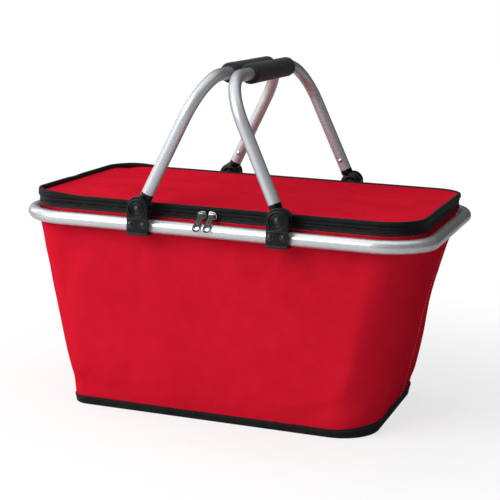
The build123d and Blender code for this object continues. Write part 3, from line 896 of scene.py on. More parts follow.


# fold settings for a risen base: the wall would shorten, and the foot ride up almost unchanged by
# shrinking towards a point 10 m above; piece() only gives these pieces their own mesh
FAR = 10.0
UPPER_FOLD = squash_to(SPLIT_Z * 0.001, (SPLIT_Z - FOOT_Z - RISE) / (SPLIT_Z - FOOT_Z))
FOOT_FOLD = squash_to(FAR, 1 - RISE * 0.001 / FAR)
WALL_U = arc_lengths(rounded_rect(*wall_dims(120))[0])


def wall_piece(name, first, end, outer_inset, inner_inset, material, slot, bulge=BULGE,
               replaces=(), fold=None):
    """Closed shell of the wall between two rows, with both faces set in from the fabric."""
    rows = slice(first, end)
    outer, inner = (WALL[:, rows] + WALL_NORMALS[:, rows] * (bulge[:, rows, None] - inset)
                    for inset in (outer_inset, inner_inset))
    z = ROW_Z[rows]
    v = np.concatenate([z, z[::-1] * -1 + 2 * z[-1] + 1, [z[0] * 2 + 300]]) * 0.001
    Surface().grid(np.concatenate([outer, inner[:, ::-1]], 1), close_u=True, close_v=True,
                   u=WALL_U, v=v).piece(name, material, slot, "frame", replaces, fold=fold,
                                        angle=40)


FABRIC = dict(outer_inset=0.0, inner_inset=1.0, material=RED, slot="body_fabric")
wall_piece("wall_fabric", FOOT_ROW, SPLIT_ROW + 1, **FABRIC, fold=UPPER_FOLD,
           replaces=("bag_outer_wall", "wall_insulation"))
wall_piece("wall_fabric_foot", 0, FOOT_ROW + 1, **FABRIC, fold=FOOT_FOLD)
wall_piece("wall_fabric_top", SPLIT_ROW, len(ROW_Z), **FABRIC)

# silver liner, crumpled a little more than the fabric
liner_at = (WALL_X * 0.02, WALL_Y * 0.02, WALL_Z * 0.02)
crumple = (abs(ripple(*liner_at, ((1.0, 1.0, (1.5, 2.5, 3.5)),))) * -1.2
           + ripple(*liner_at, ((0.35, 2.7, (0, 0, 0)),)))
liner_bulge = BULGE + np.clip(crumple * FREE, -1.6, 0.3)
LINER = dict(inner_inset=5.7, material=FOIL, slot="liner_foil")
wall_piece("liner_wall", FOOT_ROW, SPLIT_ROW + 1, 5.1, **LINER, bulge=liner_bulge,
           replaces=("inner_liner_wall",), fold=UPPER_FOLD)
wall_piece("liner_wall_foot", 1, FOOT_ROW + 1, 5.1, **LINER, bulge=liner_bulge, fold=FOOT_FOLD)
wall_piece("liner_wall_top", SPLIT_ROW, len(ROW_Z), 1.1, **LINER)

# section of the end seams: along the wall, outward
SEAM_PROFILE = [(-3.6, -0.25), (-2.7, 0.35), (-1.5, 0.8), (-0.3, 1.3), (0.1, 1.05),
                (0.35, -0.25), (-1.0, -0.6)]


def end_seam(side, column):
    """Upright seam on an end wall; column is its place round the grid on each row."""
    rows = np.arange(FOOT_ROW, SPLIT_ROW + 1)
    whole = np.floor(column).astype(int)
    part = (column - whole)[:, None]

    def on_fabric(i):
        return WALL[i, rows] + WALL_NORMALS[i, rows] * BULGE[i, rows, None]

    line = on_fabric(whole) * (1 - part) + on_fabric(whole + 1) * part
    along = WALL[whole + 1, rows] - WALL[whole - 1, rows]
    along /= np.linalg.norm(along, axis=1, keepdims=True)
    out = WALL_NORMALS[whole, rows]
    section = np.stack([line + along * a + out * b for a, b in SEAM_PROFILE], 1)
    Surface().grid(section, close_v=True, u=arc_lengths(line, False),
                   v=arc_lengths(np.array(SEAM_PROFILE)), cap=True).piece(
        "seam_" + side, RED, "body_fabric", "frame", fold=UPPER_FOLD)
    Surface().stitches(line + along * -1.5 + out * 0.78, out, pitch=3.4, length=2.5,
                       radius=0.36, lift=0.05, closed=False).piece(
        "seam_thread_" + side, THREAD_RED, "body_fabric", "frame", fold=UPPER_FOLD)


# columns from the front of each end wall; the seam leans rearwards as it rises
seam_rise = (np.arange(FOOT_ROW, SPLIT_ROW + 1) - FOOT_ROW) / (SPLIT_ROW - FOOT_ROW)
seam_place = 35.0 + 12.0 * seam_rise ** 0.8
end_seam("right", WALL_NX + WALL_NC + seam_place)
end_seam("left", 2 * (WALL_NX + WALL_NY) + 3 * WALL_NC - seam_place)

# ================================================================ bottom binding
# folded round the lower edge, deeper on the right end
# columns: outward, z, share of the waviness, share of the upper edge's rise
BAND_PROFILE = np.array([
    (-3.4, 0.35, 0, 0), (-3.4, 0.05, 0, 0), (-0.5, 0.0, 0, 0), (0.7, 0.1, 0, 0),
    (1.25, 0.6, 0.1, 0), (1.45, 1.6, 0.1, 0), (1.42, 4.5, 0.1, 0.5), (1.5, 7.6, 0.1, 1),
    (1.38, 9.0, 0.1, 1), (0.95, 9.5, 0, 1), (0.12, 9.5, 0, 1), (0.1, 6.0, 0, 0.5),
    (0.1, 1.6, 0, 0), (-0.6, 0.9, 0, 0)])
BAND_LEAN = (TOP_HALF_X - BASE_HALF_X) / WALL_TOP
BAND_STITCH_Z = 7.7
foot_plan, foot_normals = rounded_rect(*wall_dims(0))
waviness = ripple(foot_plan[:, 0] * 0.03, foot_plan[:, 1] * 0.03, 0.7)
band_rise = 0.3 * waviness + 5.0 * np.clip(foot_normals[:, 0], 0, 1) ** 1.5
columns = []
for out, z, wave_share, rise_share in BAND_PROFILE:
    plan, normals = rounded_rect(*wall_dims(z))
    rise = band_rise * rise_share
    offset = out + BAND_LEAN * rise + wave_share * waviness
    columns.append(with_z(plan + normals * offset[:, None], z + rise))
Surface().grid(np.stack(columns, 1), close_u=True, close_v=True, u=arc_lengths(foot_plan),
               v=arc_lengths(BAND_PROFILE[:, :2])).piece(
    "bottom_band", BLACK_TAPE, "binding_fabric", "frame", ("bottom_binding",), fold=FOOT_FOLD)
plan, normals = rounded_rect(*wall_dims(BAND_STITCH_Z))
Surface().stitches(
    with_z(plan + normals * (1.5 + BAND_LEAN * band_rise)[:, None], BAND_STITCH_Z + band_rise),
    with_z(normals, 0.0), pitch=3.4, length=2.4, radius=0.24, lift=0.04).piece(
    "bottom_band_thread", THREAD_BLACK, "binding_fabric", "frame", fold=FOOT_FOLD)

# ================================================================ lid
FOLD_ROWS = [FOLD_Y + d for d in (-26, -22, -18, -15, -12, -9, -6, -4, -2, 0,
                                  2, 4, 6, 9, 12, 15, 18, 22, 26)]


def lid_blend(before, after):
    """Names a blend from the rear to the front half of the lid, between offsets from the fold;
    piece() only bakes the transform.
    """
    return ("lid_rear", "lid_front", (0, (FOLD_Y + before) * 0.001, 0),
            (0, (FOLD_Y + after) * 0.001, 0))


LID_BLEND = lid_blend(9, -9)
ZIP_BLEND = lid_blend(-2.0, -16)


def crown(x, y):
    """Swell of the lid, lower at the fold so that the halves can lie flat on each other."""
    waves = ripple(x * 0.012, y * 0.016, 0.3, ((2.1, 1.0, (0, 0, 0)), (0.75, 2.9, (4, 4, 4))))
    height = ((1.1 + waves) * edge_fade(x, y, LID_HALF_X - 3, LID_HALF_Y - 3, 46.0, 34.0)
              * smooth01((abs(y - FOLD_Y) - 2) / 30.0))
    # it dips beside the raised edge at the left end
    height -= (2.0 * smooth01((-x - 110) / 80.0) * smooth01((LID_HALF_X - 5 + x) / 14.0)
               * smooth01((LID_HALF_Y - 4 - abs(y)) / 14.0))
    return np.clip(height, -2.0, 2.2)


def quilt(x, y):
    waves = ripple(x * 0.022, y * 0.022, 2.3, ((0.9, 1.0, (0, 0, 0)), (0.35, 3.1, (0, 0, 0))))
    return np.clip(waves, -0.5, 1.3) * edge_fade(x, y, LID_HALF_X - 5, LID_HALF_Y - 5, 20.0, 20.0)


def lid_sheet(inset, top, bottom):
    return Surface().sheet(LID_HALF_X - inset, LID_HALF_Y - inset,
                           corner_radii(LID_CORNERS, -inset), top, bottom, FOLD_ROWS)


fabric_low, fabric_high = z_range("lid_front_fabric")
lid_sheet(1.7, lambda x, y: fabric_high + crown(x, y),
          lambda x, y: fabric_low + 0.1 + crown(x, y)).piece(
    "lid_fabric", RED, "body_fabric", blend=LID_BLEND,
    replaces=("lid_front_fabric", "lid_rear_fabric", "lid_front_insulation",
              "lid_rear_insulation"))
lining_low, lining_high = z_range("lid_front_liner")
lid_sheet(3.7, lambda x, y: lining_high + 2.4, lambda x, y: lining_low + quilt(x, y)).piece(
    "lid_lining", FOIL, "liner_foil", blend=LID_BLEND,
    replaces=("lid_front_liner", "lid_rear_liner"))

# lid binding: tape folded over the edge, with a ridge
# columns: outward, z, share of the waviness, share of the ridge's rise
LID_BINDING = np.array([
    (-5.0, 244.75, 0.45, 0.25), (-4.95, 245.3, 0.45, 0.25), (-4.2, 245.55, 0, 0.6),
    (-3.4, 245.5, 0, 1), (-2.9, 245.55, 0, 1), (-2.0, 245.85, 0, 1), (-1.1, 245.8, 0, 1),
    (-0.4, 245.3, 0.18, 1), (-0.02, 244.4, 0.18, 0.6), (0.1, 243.3, 0.18, 0),
    (0.05, 242.3, 0.18, 0), (-0.1, 241.7, 0.18, 0), (-0.5, 241.25, 0.18, 0),
    (-1.1, 241.2, 0, 0), (-1.45, 241.6, 0, 0), (-1.45, 243.6, 0, 0), (-1.62, 244.0, 0, 0.6),
    (-3.0, 244.55, 0, 0)])
LID_PLAN, LID_NORMALS = rounded_rect(LID_HALF_X, LID_HALF_Y, LID_CORNERS, nx=110, ny=84, nc=20)
lid_waviness = ripple(LID_PLAN[:, 0] * 0.025, LID_PLAN[:, 1] * 0.025, 5.0)
# the ridge stands highest at the left end
ridge = ((0.5 + 3.3 * smooth01((-LID_PLAN[:, 0] - 155) / 55.0))
         * (0.85 + 0.15 * smooth01(abs(LID_PLAN[:, 1] - FOLD_Y) / 22.0)))
Surface().ring(LID_PLAN, LID_NORMALS, LID_BINDING[:, :2],
               outward=lid_waviness[:, None] * LID_BINDING[:, 2],
               rise=ridge[:, None] * LID_BINDING[:, 3]).piece(
    "lid_binding", BLACK_TAPE, "binding_fabric", blend=LID_BLEND,
    replaces=("lid_front_binding", "lid_rear_binding"))
Surface().stitches(with_z(LID_PLAN + LID_NORMALS * -3.6, 245.55 + ridge * 0.9),
                   np.tile((0, 0, 1.0), (len(LID_PLAN), 1)),
                   pitch=3.3, length=2.3, radius=0.25, lift=0.05).piece(
    "lid_binding_thread", THREAD_BLACK, "binding_fabric", blend=LID_BLEND)


# ================================================================ zip
def zip_path():
    """Open run of the zip: from the left end, round the front, to the right end."""
    nx, ny, nc = 170, 120, 24
    plan, normals = rounded_rect(LID_HALF_X, LID_HALF_Y, LID_CORNERS, nx, ny, nc)
    left_rear = 2 * nx + ny + 3 * nc
    order = np.arange(left_rear, left_rear + nx + 2 * (ny + nc) + 1) % len(plan)
    plan, normals = plan[order], normals[order]
    inside = np.flatnonzero(plan[:, 1] <= ZIP_END_Y + 0.5)
    run = slice(inside[0], inside[-1] + 1)
    return plan[run], normals[run]


ZIP_PLAN, ZIP_NORMALS = zip_path()
TAPE_STITCH = dict(pitch=3.0, length=2.1, radius=0.22, lift=0.04, closed=False)

# lower tape: on the wall, with a raised ridge and a flat woven field
LOWER_TAPE = [
    (TAPE_OUT - 1.2, TAPE_LOW), (TAPE_OUT + 0.55, TAPE_LOW), (TAPE_OUT + 0.95, TAPE_LOW + 0.35),
    (TAPE_OUT + 0.95, TAPE_LOW + 1.0), (TAPE_OUT + 0.5, TAPE_LOW + 1.5),
    (TAPE_OUT + 0.15, TAPE_LOW + 1.75), (TAPE_OUT + 0.1, TAPE_LOW + 3.2),
    (TAPE_OUT + 0.35, TAPE_LOW + 3.7), (TAPE_OUT + 0.3, TAPE_HIGH - 0.1),
    (TAPE_OUT - 0.1, TAPE_HIGH), (TAPE_OUT - 1.1, TAPE_HIGH)]
Surface().ring(ZIP_PLAN, ZIP_NORMALS, LOWER_TAPE, closed=False).piece(
    "zip_tape_body_side", ZIP_TAPE, "zip_tape", "frame", ("zip_tape_lower",))
Surface().stitches(with_z(ZIP_PLAN + ZIP_NORMALS * (TAPE_OUT + 0.12), TAPE_LOW + 2.5),
                   with_z(ZIP_NORMALS, 0.0), **TAPE_STITCH).piece(
    "zip_tape_thread", THREAD_BLACK, "zip_tape", "frame")

upper_low, upper_high = z_range("lid_front_zip_tape")
UPPER_TAPE = [
    (TAPE_OUT - 1.1, upper_low), (TAPE_OUT + 0.25, upper_low), (TAPE_OUT + 0.35, upper_low + 0.5),
    (TAPE_OUT + 0.1, upper_low + 1.0), (TAPE_OUT - 0.05, upper_low + 2.2),
    (TAPE_OUT - 0.1, upper_high), (TAPE_OUT - 1.1, upper_high)]
Surface().ring(ZIP_PLAN, ZIP_NORMALS, UPPER_TAPE, closed=False).piece(
    "zip_tape_lid_side", ZIP_TAPE, "zip_tape", blend=ZIP_BLEND,
    replaces=("lid_front_zip_tape", "lid_rear_zip_tape"))

COIL_PITCH = 1.5
BEAD_HALF_W, BEAD_HALF_D, BEAD_OUT = 0.46, 0.95, -2.15
BEAD_MESH, BEAD_CORE = 0.45, 0.3         # how far beads reach past the chain, core stays short


def coil(low, high, core_low, core_high, phase):
    """One bead with rounded ends for each turn, on a flat core; phase shifts by turns."""
    surface = Surface()
    steps = np.linalg.norm(np.diff(ZIP_PLAN, axis=0), axis=1)
    reach = np.concatenate([[0], np.cumsum(steps)])
    for k in range(int((reach[-1] - 1.0) / COIL_PITCH)):
        at = 0.5 + (k + phase) * COIL_PITCH
        centre, out = (np.array([np.interp(at, reach, values[:, axis]) for axis in (0, 1)])
                       for values in (ZIP_PLAN, ZIP_NORMALS))
        out /= np.linalg.norm(out)
        along = np.array((-out[1], out[0]))
        bead = np.zeros((4, 6, 3))
        for row, (z, size) in enumerate(((low, 0.45), (low + 0.3, 1.0), (high - 0.3, 1.0),
                                         (high, 0.45))):
            for corner in range(6):
                angle = corner * PI / 3
                u = BEAD_HALF_W * size * math.cos(angle)
                v = BEAD_HALF_D * size * math.sin(angle)
                bead[row, corner] = (*(centre + out * (BEAD_OUT + v) + along * u), z)
        surface.grid(bead, close_v=True, cap=True)
    core = [(-2.9, core_low), (-1.95, core_low), (-1.95, core_high), (-2.9, core_high)]
    return surface.ring(ZIP_PLAN, ZIP_NORMALS, core, closed=False)


# the two chains lie half a turn apart
low, high = z_range("zip_coil_lower")
coil(low, high + BEAD_MESH, core_low=low, core_high=high - BEAD_CORE, phase=0.0).piece(
    "zip_coil_body_side", COIL, "zip_coil", "frame", ("zip_coil_lower",))
low, high = z_range("lid_front_zip_coil")
coil(low - BEAD_MESH, high, core_low=low + BEAD_CORE, core_high=high, phase=0.5).piece(
    "zip_coil_lid_side", COIL, "zip_coil", blend=ZIP_BLEND,
    replaces=("lid_front_zip_coil", "lid_rear_zip_coil"))

# rear hinge strip: soft band joining wall and lid, creased along its middle
strip_low, strip_high = box_mm("hinge_strip")
on_strip = LID_PLAN[:, 1] >= strip_low[1]
strip_plan, strip_normals = LID_PLAN[on_strip], LID_NORMALS[on_strip]
strip_z = np.linspace(strip_low[2], strip_high[2], 9)
crease = np.sin(PI * np.arange(9) / 8) ** 2
outer = np.column_stack([TAPE_OUT + 0.55 - 0.75 * crease, strip_z])
inner = np.column_stack([TAPE_OUT - 0.55 - 0.6 * crease, strip_z])[::-1]
Surface().ring(strip_plan, strip_normals, np.vstack([outer, inner]), closed=False).piece(
    "rear_hinge_strip", BLACK_TAPE, "binding_fabric", replaces=("hinge_strip",),
    blend=("frame", "lid_rear", (0, 0, (strip_low[2] + 1.5) * 0.001),
           (0, 0, (strip_high[2] - 0.5) * 0.001)))
Surface().stitches(with_z(strip_plan + strip_normals * (TAPE_OUT + 0.5), strip_low[2] + 1.2),
                   with_z(strip_normals, 0.0), **TAPE_STITCH).piece(
    "rear_strip_thread", THREAD_BLACK, "binding_fabric", "frame")


# ================================================================ base
def sag(x, y):
    return (ripple(x * 0.015, y * 0.015, 8.0)
            * edge_fade(x, y, PANEL_HALF_X, PANEL_HALF_Y, 25.0, 25.0))


FOOT_CORNERS = wall_dims(0)[2]
bottom_fabric = Surface().sheet(
    PANEL_HALF_X + 2.3, PANEL_HALF_Y + 2.3, corner_radii(FOOT_CORNERS, -3.9),
    lambda x, y: 1.15 + 0.1 * sag(x, y), lambda x, y: 0.45 + 0.35 * sag(x, y), nx=70).piece(
    "bottom_fabric", RED_UNDER, "body_fabric", "base", ("bottom_panel", "floor_insulation"))
floor_low, floor_high = box_mm("floor_liner")
Surface().sheet(
    floor_high[0] - 0.6, floor_high[1] - 0.6, corner_radii(FOOT_CORNERS, -6.7),
    lambda x, y: floor_high[2] + 0.5 * abs(sag(x, y)), lambda x, y: floor_low[2]).piece(
    "floor_foil", FOIL, "liner_foil", "base", ("floor_liner",))
board_low, board_high = box_mm("base_board")
board_outline = rounded_rect(board_high[0], board_high[1], corner_radii(FOOT_CORNERS, -6.5),
                             nx=24, ny=16, nc=12)[0]
Surface().plate(board_outline, thick=board_high[2] - board_low[2], bevel=0.5,
                place=lambda points: points + (0, 0, (board_low[2] + board_high[2]) / 2)).piece(
    "base_stiffener", BOARD, "base_board", "base", ("base_board",), angle=45)


# ================================================================ hoop
def hoop_path():
    """Centreline from the middle of the rear all the way round, left open by a small gap."""
    nx, ny, nc = 60, 24, 28
    plan, _ = rounded_rect(HOOP_HALF_X, HOOP_HALF_Y, HOOP_CORNER_R, nx, ny, nc)
    rear_middle = nx + nc + ny + nc + nx // 2
    plan = np.roll(plan, -rear_middle, axis=0)
    half_gap = 0.2
    plan[0] = (-half_gap, HOOP_HALF_Y)
    return with_z(np.vstack([plan, [(half_gap, HOOP_HALF_Y)]]), HOOP_Z)


hoop = hoop_path()
# the tube thins slightly in the middle of each bend
bend_middle = HOOP_CORNER_R * 0.29
from_bend = (abs(abs(hoop[:, 0]) - (HOOP_HALF_X - bend_middle))
             + abs(abs(hoop[:, 1]) - (HOOP_HALF_Y - bend_middle)))
Surface().tube(hoop, HOOP_TUBE_R - 0.12 * np.exp(-(from_bend / 30.0) ** 2), segments=48,
               up=(0, 0, 1)).piece(
    "hoop_tube", ALU_HOOP, "aluminium", "frame", ("rim_tube",), angle=50)


# ================================================================ brackets
def saddle_profile():
    """Section (distance from y = 0, z) round the hoop's outer side, bottom and inner side."""
    outer_r, inner_r = 9.0, HOOP_TUBE_R + 0.05
    y, z = HOOP_HALF_Y, HOOP_Z
    plate_y = 148.6
    return np.array([
        (plate_y, BRACKET_LOW + 0.2),
        *arc(y, z, outer_r, np.linspace(-PI / 2, -PI, 16)),
        (BRACKET_INNER_Y + 0.25, z + 1.5), (BRACKET_INNER_Y + 0.05, z + 6.9),
        (BRACKET_INNER_Y + 0.4, z + 7.7), (BRACKET_INNER_Y + 1.3, z + 7.8),
        (BRACKET_INNER_Y + 1.9, z + 7.2), (BRACKET_INNER_Y + 1.92, z + 1.2),
        *arc(y, z, inner_r, np.linspace(-PI, 0, 26)),
        (y + inner_r + 0.2, z + 3.0), (y + inner_r + 0.9, z + 5.6), (plate_y, z + 6.4)])


SADDLE = saddle_profile()
turn = np.roll(SADDLE, -1, 0) - np.roll(SADDLE, 1, 0)
SADDLE_NORMALS = (np.column_stack([-turn[:, 1], turn[:, 0]])
                  / np.linalg.norm(turn, axis=1, keepdims=True))
# distance in from each end of the saddle, inset of the section there
SADDLE_ENDS = [(0.05, 0.45), (0.18, 0.18), (0.55, 0.0)]
# rings round the pivot: radius, half width, half height
PIVOT_RINGS = [(9.7, 0.95, 1.15), (6.5, 0.8, 1.1), (4.35, 0.45, 0.7)]


def bracket(side_x, side_y):
    x0 = side_x * PIVOT_X
    half_w, low = BRACKET_HALF_W, BRACKET_LOW
    arch_z = BRACKET_HIGH - half_w
    surface = Surface()
    outline = [(-half_w + 0.9, low), (half_w - 0.9, low), (half_w, low + 0.9),
               (half_w, low + 9.5), (half_w, arch_z)]
    outline += arc(0, arch_z, half_w, np.arange(1, 41) * PI / 40)
    outline += [(-half_w, low + 9.5), (-half_w, low + 0.9)]
    surface.plate(outline, thick=4.4, bevel=0.8, place=facing(x0, side_y, 150.2), resolution=4)
    # raised field over the rivets, and a lip along the lower edge
    field = [(-half_w + 0.6, low + 3.0), (half_w - 0.6, low + 3.0), (half_w - 0.6, low + 17.4),
             (6.5, low + 18.4), (-6.5, low + 18.4), (-half_w + 0.6, low + 17.4)]
    surface.plate(round_poly(field, 1.2), thick=1.5, bevel=0.5,
                  place=facing(x0, side_y, 152.25))
    surface.plate(round_poly(rectangle(half_w - 0.3, low + 0.15, low + 2.1), 0.6), thick=2.0,
                  bevel=0.55, place=facing(x0, side_y, 152.35))
    for r, half_width_, half_height in PIVOT_RINGS:
        surface.lathe(arc(r, 152.95, half_width_, full_turn(12), ry=half_height),
                      (x0, 0, PIVOT_Z), (0, side_y, 0), 56, closed=True)
    for dx in (-RIVET_DX, RIVET_DX):     # seats round the rivets
        surface.lathe(arc(3.5, 153.0, 0.35, full_turn(10)), (x0 + dx, 0, RIVET_Z),
                      (0, side_y, 0), 32, closed=True)
    levels = [(-half_w + x, inset) for x, inset in SADDLE_ENDS]
    levels += [(half_w - x, inset) for x, inset in SADDLE_ENDS[::-1]]
    sections = []
    for x, inset in levels:
        edge = SADDLE - SADDLE_NORMALS * inset
        sections.append(np.column_stack([np.full(len(edge), x0 + x), side_y * edge[:, 0],
                                         edge[:, 1]]))
    surface.grid(sections, close_v=True, cap=True)
    name = ("bracket_" + ("rear" if side_y > 0 else "front") + "_"
            + ("right" if side_x > 0 else "left"))
    surface.piece("hinge_" + name, PLASTIC, "black_plastic", "frame", (name,), angle=42)


for side_x, side_y in HUBS:
    bracket(side_x, side_y)

# turned profiles: radius, distance from y = 0
RIVET = [(0, 155.0), (0.9, 154.95), (1.8, 154.7), (2.6, 154.15), (3.05, 153.5), (3.15, 153.0),
         (3.0, 152.8), (1.5, 152.8), (1.5, 119.5), (2.75, 119.5), (2.8, 119.1), (2.4, 118.5),
         (1.4, 118.2), (0, 118.15)]
PIVOT_PIN = [(0, 154.45), (1.1, 154.42), (1.5, 154.1), (2.2, 154.05), (2.9, 153.95),
             (3.35, 153.6), (3.5, 153.0), (3.4, 152.8), (2.5, 152.8), (2.5, 132.0),
             (3.4, 132.0), (3.45, 131.7), (3.0, 131.25), (1.8, 131.0), (0, 130.95)]
rivets, pins = Surface(), Surface()
for side_x, side_y in HUBS:
    for dx in (-RIVET_DX, RIVET_DX):
        rivets.lathe(RIVET, (side_x * PIVOT_X + dx, 0, RIVET_Z), (0, side_y, 0), 28)
    pins.lathe(PIVOT_PIN, (side_x * PIVOT_X, 0, PIVOT_Z), (0, side_y, 0), 36)
rivets.piece("bracket_rivets", DARK_STEEL, "dark_fastener", "frame", ("bracket_screws",),
             angle=50)
pins.piece("pivot_caps", DARK_STEEL, "dark_fastener", "frame", ("pivot_pins",), angle=50)

# ================================================================ handles
# s is the distance from the pivot in the handle's own plane
ARM_Y0, ARM_SLOPE, ARM_START, ARM_POINTS = 140.6, 0.034, 17.5, 26
BEND_R = 52.0
ARM_RIVET_S = 30.0
BAR_R = 7.0
# end disc and neck: radius, distance along the axis
END_DISC = [(2.6, 134.5), (5.4, 134.5), (6.9, 134.3), (7.3, 133.5), (7.9, 133.2), (8.6, 133.25),
            (9.1, 133.7), (9.4, 134.3), (10.6, 134.4), (11.5, 134.6), (12.1, 135.2),
            (12.3, 136.2), (12.3, 139.6), (11.9, 140.0), (11.9, 140.9), (12.3, 141.3),
            (12.3, 145.6), (12.05, 146.7), (11.4, 147.3), (10.4, 147.5), (2.6, 147.5)]
NECK = [(0, 4.5), (6.0, 4.5), (6.2, 9.0), (6.45, 11.0), (6.95, 12.2), (7.08, 13.0),
        (7.08, 17.0), (6.95, 17.42), (6.4, 17.45), (5.9, 17.3), (5.9, 16.0), (0, 16.0)]
ARM_RIVET = [(0, 8.05), (0.9, 8.0), (1.8, 7.75), (2.4, 7.35), (2.6, 6.95), (2.5, 6.6),
             (1.5, 6.5), (1.5, 2.0), (0, 2.0)]


def arm_y(s):
    return ARM_Y0 - ARM_SLOPE * s


def handle_path():
    """Centreline (0, y, s) from front to rear, and the number of points in one arm and bend."""
    corner = np.array((arm_y(HANDLE_REACH), HANDLE_REACH))
    up_arm = np.array((-ARM_SLOPE, 1.0)) / math.hypot(ARM_SLOPE, 1)
    tangent = BEND_R * math.tan((PI / 2 - math.atan(ARM_SLOPE)) / 2)
    arm_end = corner - up_arm * tangent
    bar_end = corner + np.array((-1.0, 0)) * tangent
    centre = np.array((bar_end[0], HANDLE_REACH - BEND_R))
    angle = math.atan2(arm_end[1] - centre[1], arm_end[0] - centre[0])
    start = np.array((arm_y(ARM_START), ARM_START))
    rear = np.array([start + (arm_end - start) * t for t in np.linspace(0, 1, ARM_POINTS)]
                    + arc(*centre, BEND_R, np.linspace(angle, PI / 2, 30)[1:]))
    front = rear * (-1, 1)
    bar_y = np.linspace(-bar_end[0], bar_end[0], 14)[1:-1]
    bar = np.column_stack([bar_y, np.full(len(bar_y), HANDLE_REACH)])
    path = np.vstack([front, bar, rear[::-1]])
    return np.column_stack([np.zeros(len(path)), path]), len(rear)


def to_world(side_x, points):
    """Moves (x, y, s) points about the pivot to the leaning handle's place."""
    points = np.asarray(points, float)
    cosine, sine = math.cos(LEAN), math.sin(LEAN)
    x = points[..., 0] * cosine - side_x * points[..., 2] * sine
    z = side_x * points[..., 0] * sine + points[..., 2] * cosine
    return np.stack([side_x * PIVOT_X + x, points[..., 1], PIVOT_Z + z], -1)


def bar_radius(count, arm_count):
    """The tube is slightly thinner and rippled in its two bends."""
    radius = np.full(count, BAR_R)
    t = np.linspace(0, 1, arm_count - ARM_POINTS)
    for first, end in ((ARM_POINTS, arm_count), (count - arm_count, count - ARM_POINTS)):
        radius[first:end] -= (0.16 * np.sin(PI * t) ** 2
                              + 0.05 * np.sin(PI * t * 7) ** 2 * np.sin(PI * t))
    return radius


def foam_grip(side_x):
    """Sleeve with soft rounded ends and a faint waist, a little uneven."""
    length, end_length = GRIP_END - GRIP_START, 4.0
    profile = [(BAR_R, 0.3)]
    for t in [0, 0.4, 1.2, 2.4, 4.0, *np.linspace(7, length - 7, 40),
              length - 4.0, length - 2.4, length - 1.2, length - 0.4, length]:
        from_end = min(t, length - t)
        end = 1.0
        if from_end < end_length:
            slope = ((end_length - from_end) / end_length) ** 2
            end = math.sqrt(max(0.0, 1 - slope)) * 0.16 + 0.84
        waist = 0.16 * math.exp(-((t - length / 2) / 30.0) ** 2)
        uneven = 0.07 * noise.noise(Vector((t * 0.06, 1.1 * side_x, 0)))
        profile.append((GRIP_R * 0.995 * end - waist + uneven, t))
    profile.append((BAR_R, length - 0.3))
    r, t = np.array(profile).T
    angle = full_turn(44)[:, None]
    points = np.stack(np.broadcast_arrays(r * np.cos(angle), GRIP_START + t,
                                          HANDLE_REACH + r * np.sin(angle)), -1)
    return Surface().grid(to_world(side_x, points), close_u=True, close_v=True)


HANDLE_PATH, ARM_COUNT = handle_path()
for side_x, side in ((1, "right"), (-1, "left")):
    body = "handle_" + side
    Surface().tube(to_world(side_x, HANDLE_PATH), bar_radius(len(HANDLE_PATH), ARM_COUNT),
                   segments=40, up=(1, 0, 0)).piece(
        "handle_bar_" + side, ALU, "aluminium", body, ("handle_tube_" + side,), angle=50)
    foam_grip(side_x).piece(
        "foam_grip_" + side, FOAM, "grip_foam", body, ("handle_grip_" + side,), angle=60)
    ends, arm_rivets = Surface(), Surface()
    for side_y in (-1, 1):
        ends.lathe(END_DISC, to_world(side_x, (0, 0, 0)), (0, side_y, 0), 56, closed=True)
        root, further, rivet_at = (to_world(side_x, (0, side_y * arm_y(s), s))
                                   for s in (0.0, 10.0, ARM_RIVET_S))
        ends.lathe(NECK, root, further - root, 40)
        arm_rivets.lathe(ARM_RIVET, rivet_at, (0, -side_y, 0), 24)
    ends.piece("handle_ends_" + side, PLASTIC, "black_plastic", body,
               ("handle_connectors_" + side,), angle=42)
    arm_rivets.piece("handle_rivet_heads_" + side, STEEL, "fastener_steel", body,
                     ("handle_rivets_" + side,), angle=50)

# ================================================================ sliders and pulls
_, PULL_Y, PULL_Z = joint_mm("pull_right_lift")
SLIDER_Z = sum(z_range("zip_slider_right")) / 2
PULL_TILT = math.radians(47.8)
PULL_LENGTH = 25.0
PULL_END_R = 4.5


def slider_outline(side_x):
    """Squarish oval, taller towards the middle of the bag."""
    points = []
    for k in range(44):
        angle = 2 * PI * k / 44
        cosine, sine = math.cos(angle), math.sin(angle)
        x = 4.95 * abs(cosine) ** 0.62 * (1 if cosine > 0 else -1)
        z = 4.3 * abs(sine) ** 0.62 * (1 if sine > 0 else -1)
        points.append((x, z * (1.0 - 0.16 * (x / 4.95) * side_x)))
    return points


def slider(side_x, x0):
    surface = Surface()
    outline = slider_outline(side_x)
    # outer and inner plates: thickness, depth, scale, drop
    for thick, depth, scale, drop in ((1.35, 128.6, 1.0, 0.0), (1.1, 122.6, 0.9, -1.3)):
        surface.plate([(x * scale, z * scale + drop) for x, z in outline], thick, bevel=0.42,
                      place=facing(x0, -1, depth, SLIDER_Z), resolution=4)
    # thin bar between the plates
    surface.plate(round_poly(rectangle(2.2, -0.24, 0.24), 0.1), thick=5.6, bevel=0.05,
                  place=facing(x0, -1, 125.6, 237.3), resolution=1)
    # bridge: an arch along the slider that the pull hangs on
    angle = np.linspace(0, PI, 22)
    bridge = np.column_stack([x0 - 3.7 * np.cos(angle), -(128.9 + 3.2 * np.sin(angle) ** 0.7),
                              np.full(22, PULL_Z)])
    return surface.tube(bridge, 0.8 + 0.35 * np.abs(np.cos(angle)) ** 2, segments=14,
                        up=(0, 0, 1))


